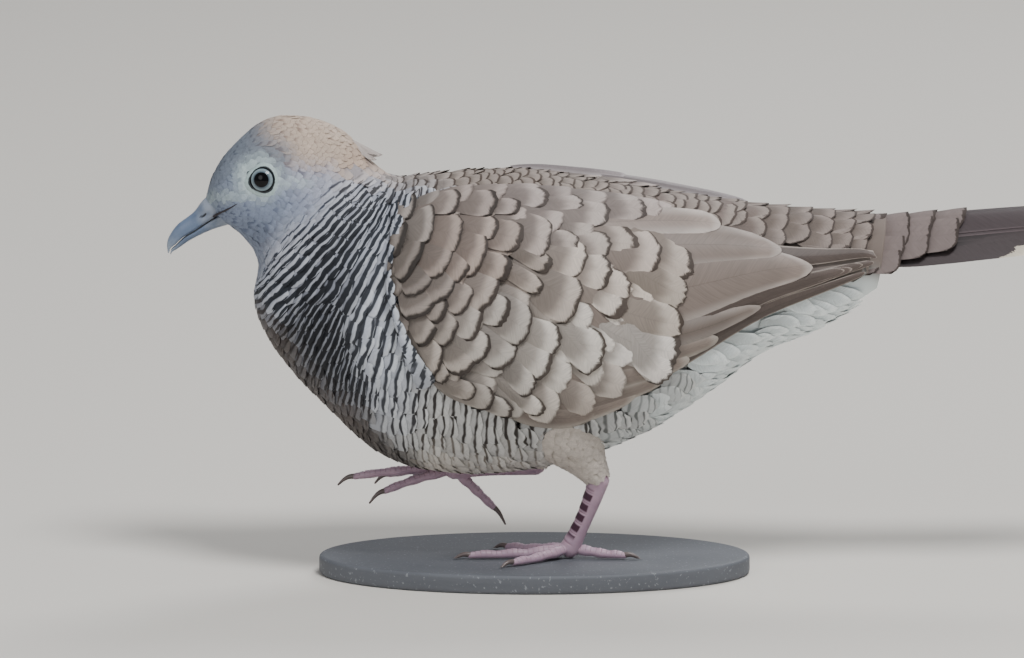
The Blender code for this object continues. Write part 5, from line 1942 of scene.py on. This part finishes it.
def slate_material():
    """Layered grey stone with a fine grit."""
    made, n, inputs = plain_material("Honed slate", 0.6, 0.4)
    where = n.here()
    layers = n.fed("ShaderNodeMapping", {"Scale": (1.0, 1.6, 5.0), "Vector": where})
    cloud = n.noise(layers, 60.0, 5.0)
    grit = n.noise(where, 1500.0, 2.0)
    painted = n.mix(cloud, "4C4F55", "6B6E74")
    n.plug(inputs["Base Color"], n.mix(n.ramp(grit, 0.62, 0.72), painted, "83868B"))
    n.plug(inputs["Roughness"], n.ramp(cloud, 0.3, 0.7, 0.52, 0.68))
    bump(n, inputs, grit, 0.06, 0.5)
    return made


# Stage


def add_camera():
    """From the bird's left and a little above, through a long lens."""
    camera = bpy.data.cameras.new("Camera")
    camera.sensor_width = 36.0
    camera.lens = camera.sensor_width * CAMERA_DISTANCE / (VIEW_WIDTH * MM)
    camera.clip_end = 20.0
    eye = object_of("Camera", camera)
    x, height = VIEW_MIDDLE
    aim = np.array((x, 0.0, (height - SEEN_SHIFT) / math.cos(SEEN_FROM))) + SHIFT
    back = np.array((0, -math.cos(SEEN_FROM), math.sin(SEEN_FROM)))
    eye.location = Vector(aim * MM + back * CAMERA_DISTANCE)
    eye.rotation_euler = (math.pi / 2 - SEEN_FROM, 0, 0)
    bpy.context.scene.camera = eye


# Each lamp's way from the bird, in metres, its share of the key lamp's power and its size
LAMPS = {
    "Key": ((0.30, -0.60, 1.10), 1, 0.40),
    "Fill": ((-0.70, -1.00, 0.55), 0.22, 0.8),
    "Rim": ((0.40, 0.80, 0.85), 0.45, 0.5),
}


def add_stage(key_power):
    """A pale floor, three soft lamps, an even sky and the camera."""
    material, _, _ = plain_material("Pale floor", 0.9, 0.2, colour("DAD6CF"))
    floor_z, half = CAD_BOX[0][2], 3.0
    data = bpy.data.meshes.new("floor")
    corners = ((-half, -half), (half, -half), (half, half), (-half, half))
    data.from_pydata([(x, y, floor_z) for x, y in corners], [], [(0, 1, 2, 3)])
    object_of("stage_floor", data, material)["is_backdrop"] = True
    world = bpy.context.scene.world = bpy.data.worlds.new("Studio")
    world.use_nodes = True
    sky = world.node_tree.nodes["Background"].inputs
    sky[0].default_value = (0.84, 0.87, 0.92, 1.0)
    sky[1].default_value = 0.34
    target = Vector((np.array((-12.0, 0.0, 50.0)) + SHIFT) * MM)
    for name, (way, share, size) in LAMPS.items():
        light = bpy.data.lights.new(name, "AREA")
        light.energy, light.size, light.shape = key_power * share, size, "DISK"
        lamp = object_of(name, light)
        lamp.location = target + Vector(way)
        lamp.rotation_euler = (target - lamp.location).to_track_quat("-Z", "Y").to_euler()
    add_camera()


# The add-on


def colour_property(name, description, code):
    given = {"name": name, "description": description, "default": colour(code)}
    return FloatVectorProperty(**given, subtype="COLOR", size=3, min=0, max=1)


class ZebraDoveSettings(bpy.types.PropertyGroup):
    """What a user would change about the bird."""

    covert_fringe: FloatProperty(
        name="Covert fringe", description="Width of the dark edge on a wing covert",
        unit="LENGTH", default=1.0 * MM, min=0.0,
    )
    body_fray: FloatProperty(
        name="Body fray", default=0.14, min=0.0, max=0.6,
        description="How ragged the body feathers' tips are, as a share of their length",
    )
    barb_spacing: FloatProperty(
        name="Barb spacing", default=0.26, min=0.05,
        description="Distance between barbs on the wing feathers, in millimetres",
    )
    horn: colour_property("Bill", "Middle of the bill", "63738C")
    iris: colour_property("Iris", "Outer part of the iris", "92A3AA")
    orbital: colour_property("Eye ring", "Bare skin round the eye", "B9CBCA")
    leg: colour_property("Legs", "Paler patches of the legs' skin", "C0A4B3")
    quill_brown: colour_property("Flight feathers", "Plain brown of the flight feathers", "5E534E")
    key_power: FloatProperty(
        name="Key lamp", description="Power of the key lamp", unit="POWER", default=15.0, min=0.0
    )


def place(piece, slot, *nodes):
    """A finished piece rides the body and stands for its nodes. Its slot is not used."""
    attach(piece, "root")
    if nodes:
        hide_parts(*nodes)
    return piece


class AddSkin(bpy.types.Operator):
    """Lay one skin under the whole coat"""

    bl_idname = "zebra_dove.add_skin"
    bl_label = "Skin"

    def execute(self, context):
        finish = feather_material("Skin under the coat", 0.22, 0.0, 0.0, 0.75)
        add_skin(finish)
        return {"FINISHED"}


class AddBodyFeathers(bpy.types.Operator):
    """Lay the feathers of the head, neck, breast, belly and back"""

    bl_idname = "zebra_dove.add_body_feathers"
    bl_label = "Body feathers"

    def execute(self, context):
        finishes = {
            "head": feather_material("Short head feathers", 0.16, 0.02, 0.0, 0.66, relief=0.02),
            "body": feather_material("Barred body feathers", 0.20, 0.035, 0.0),
            "back": feather_material("Back feathers", 0.24, 0.04, 0.06),
            "belly": feather_material("Downy belly feathers", 0.22, 0.03, 0.0, 0.7),
        }
        add_body_feathers(finishes, context.scene.zebra_dove.body_fray)
        return {"FINISHED"}


class AddThighs(bpy.types.Operator):
    """Lay the soft feathers of both thighs"""

    bl_idname = "zebra_dove.add_thighs"
    bl_label = "Thighs"

    def execute(self, context):
        finish = feather_material("Soft thigh feathers", 0.25, 0.03, 0.0, 0.7)
        for side in SIDES:
            add_thigh(side, finish)
        return {"FINISHED"}


class AddWings(bpy.types.Operator):
    """Lay the coverts, scapulars, tertials and flight feathers of both wings"""

    bl_idname = "zebra_dove.add_wings"
    bl_label = "Wings"

    def execute(self, context):
        settings = context.scene.zebra_dove
        barbs = settings.barb_spacing
        covert = feather_material("Fringed wing coverts", barbs, 0.09, 0.06, softness=0.45)
        quill = feather_material("Plain flight feathers", barbs, 0.008, 0.12, 0.5)
        shoulder = feather_material("Shoulder feathers", 0.20, 0.035, 0.0)
        for side in SIDES:
            add_wing(side, covert, quill, shoulder, settings)
        return {"FINISHED"}


class AddTail(bpy.types.Operator):
    """Lay the twelve tail feathers and the coverts over their bases"""

    bl_idname = "zebra_dove.add_tail"
    bl_label = "Tail"

    def execute(self, context):
        quill = feather_material("Tail feathers", 0.3, 0.008, 0.25, 0.5)
        covert = feather_material("Tail coverts", 0.26, 0.04, 0.06)
        add_tail(quill, covert)
        return {"FINISHED"}


class AddBill(bpy.types.Operator):
    """Shape both halves of the bill, with the cere and the nostrils"""

    bl_idname = "zebra_dove.add_bill"
    bl_label = "Bill"

    def execute(self, context):
        add_bill(bill_material(context.scene.zebra_dove.horn))
        return {"FINISHED"}


class AddEyes(bpy.types.Operator):
    """Shape the eyeballs and the bare rings round them"""

    bl_idname = "zebra_dove.add_eyes"
    bl_label = "Eyes"

    def execute(self, context):
        settings = context.scene.zebra_dove
        add_eyes(eye_material(settings.iris))
        add_eye_rings(eye_ring_material(settings.orbital))
        return {"FINISHED"}


class AddLegs(bpy.types.Operator):
    """Shape the bare legs with their scutes and pads, and the claws"""

    bl_idname = "zebra_dove.add_legs"
    bl_label = "Legs"

    def execute(self, context):
        add_legs(leg_material(context.scene.zebra_dove.leg), claw_material())
        return {"FINISHED"}


class AddBase(bpy.types.Operator):
    """Shape the oval slate base"""

    bl_idname = "zebra_dove.add_base"
    bl_label = "Slate base"

    def execute(self, context):
        add_base(slate_material())
        return {"FINISHED"}


class AddStage(bpy.types.Operator):
    """Set the floor, the lamps and the camera"""

    bl_idname = "zebra_dove.add_stage"
    bl_label = "Stage"

    def execute(self, context):
        add_stage(context.scene.zebra_dove.key_power)
        return {"FINISHED"}


OPERATORS = (AddSkin, AddBodyFeathers, AddThighs, AddWings, AddTail)
OPERATORS += (AddBill, AddEyes, AddLegs, AddBase, AddStage)


class ZebraDovePanel(bpy.types.Panel):
    """The bird's pieces and settings"""

    bl_idname = "VIEW3D_PT_zebra_dove"
    bl_label = "Zebra Dove"
    bl_space_type = "VIEW_3D"
    bl_region_type = "UI"
    bl_category = "Zebra Dove"

    def draw(self, context):
        for name in ZebraDoveSettings.__annotations__:
            self.layout.prop(context.scene.zebra_dove, name)
        for operator in OPERATORS:
            self.layout.operator(operator.bl_idname)


def register():
    for made in (ZebraDoveSettings, *OPERATORS, ZebraDovePanel):
        bpy.utils.register_class(made)
    bpy.types.Scene.zebra_dove = PointerProperty(type=ZebraDoveSettings)


def unregister():
    del bpy.types.Scene.zebra_dove
    for made in (ZebraDovePanel, *reversed(OPERATORS), ZebraDoveSettings):
        bpy.utils.unregister_class(made)


def main():
    register()
    for operator in OPERATORS:
        group, name = operator.bl_idname.split(".")
        getattr(getattr(bpy.ops, group), name)()
    clear_helpers()
    boxes = {"cad": CAD_BOX, "visual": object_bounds()}
    boxes = {name: [list(map(float, corner)) for corner in box] for name, box in boxes.items()}


if __name__ == "__main__":
    main()
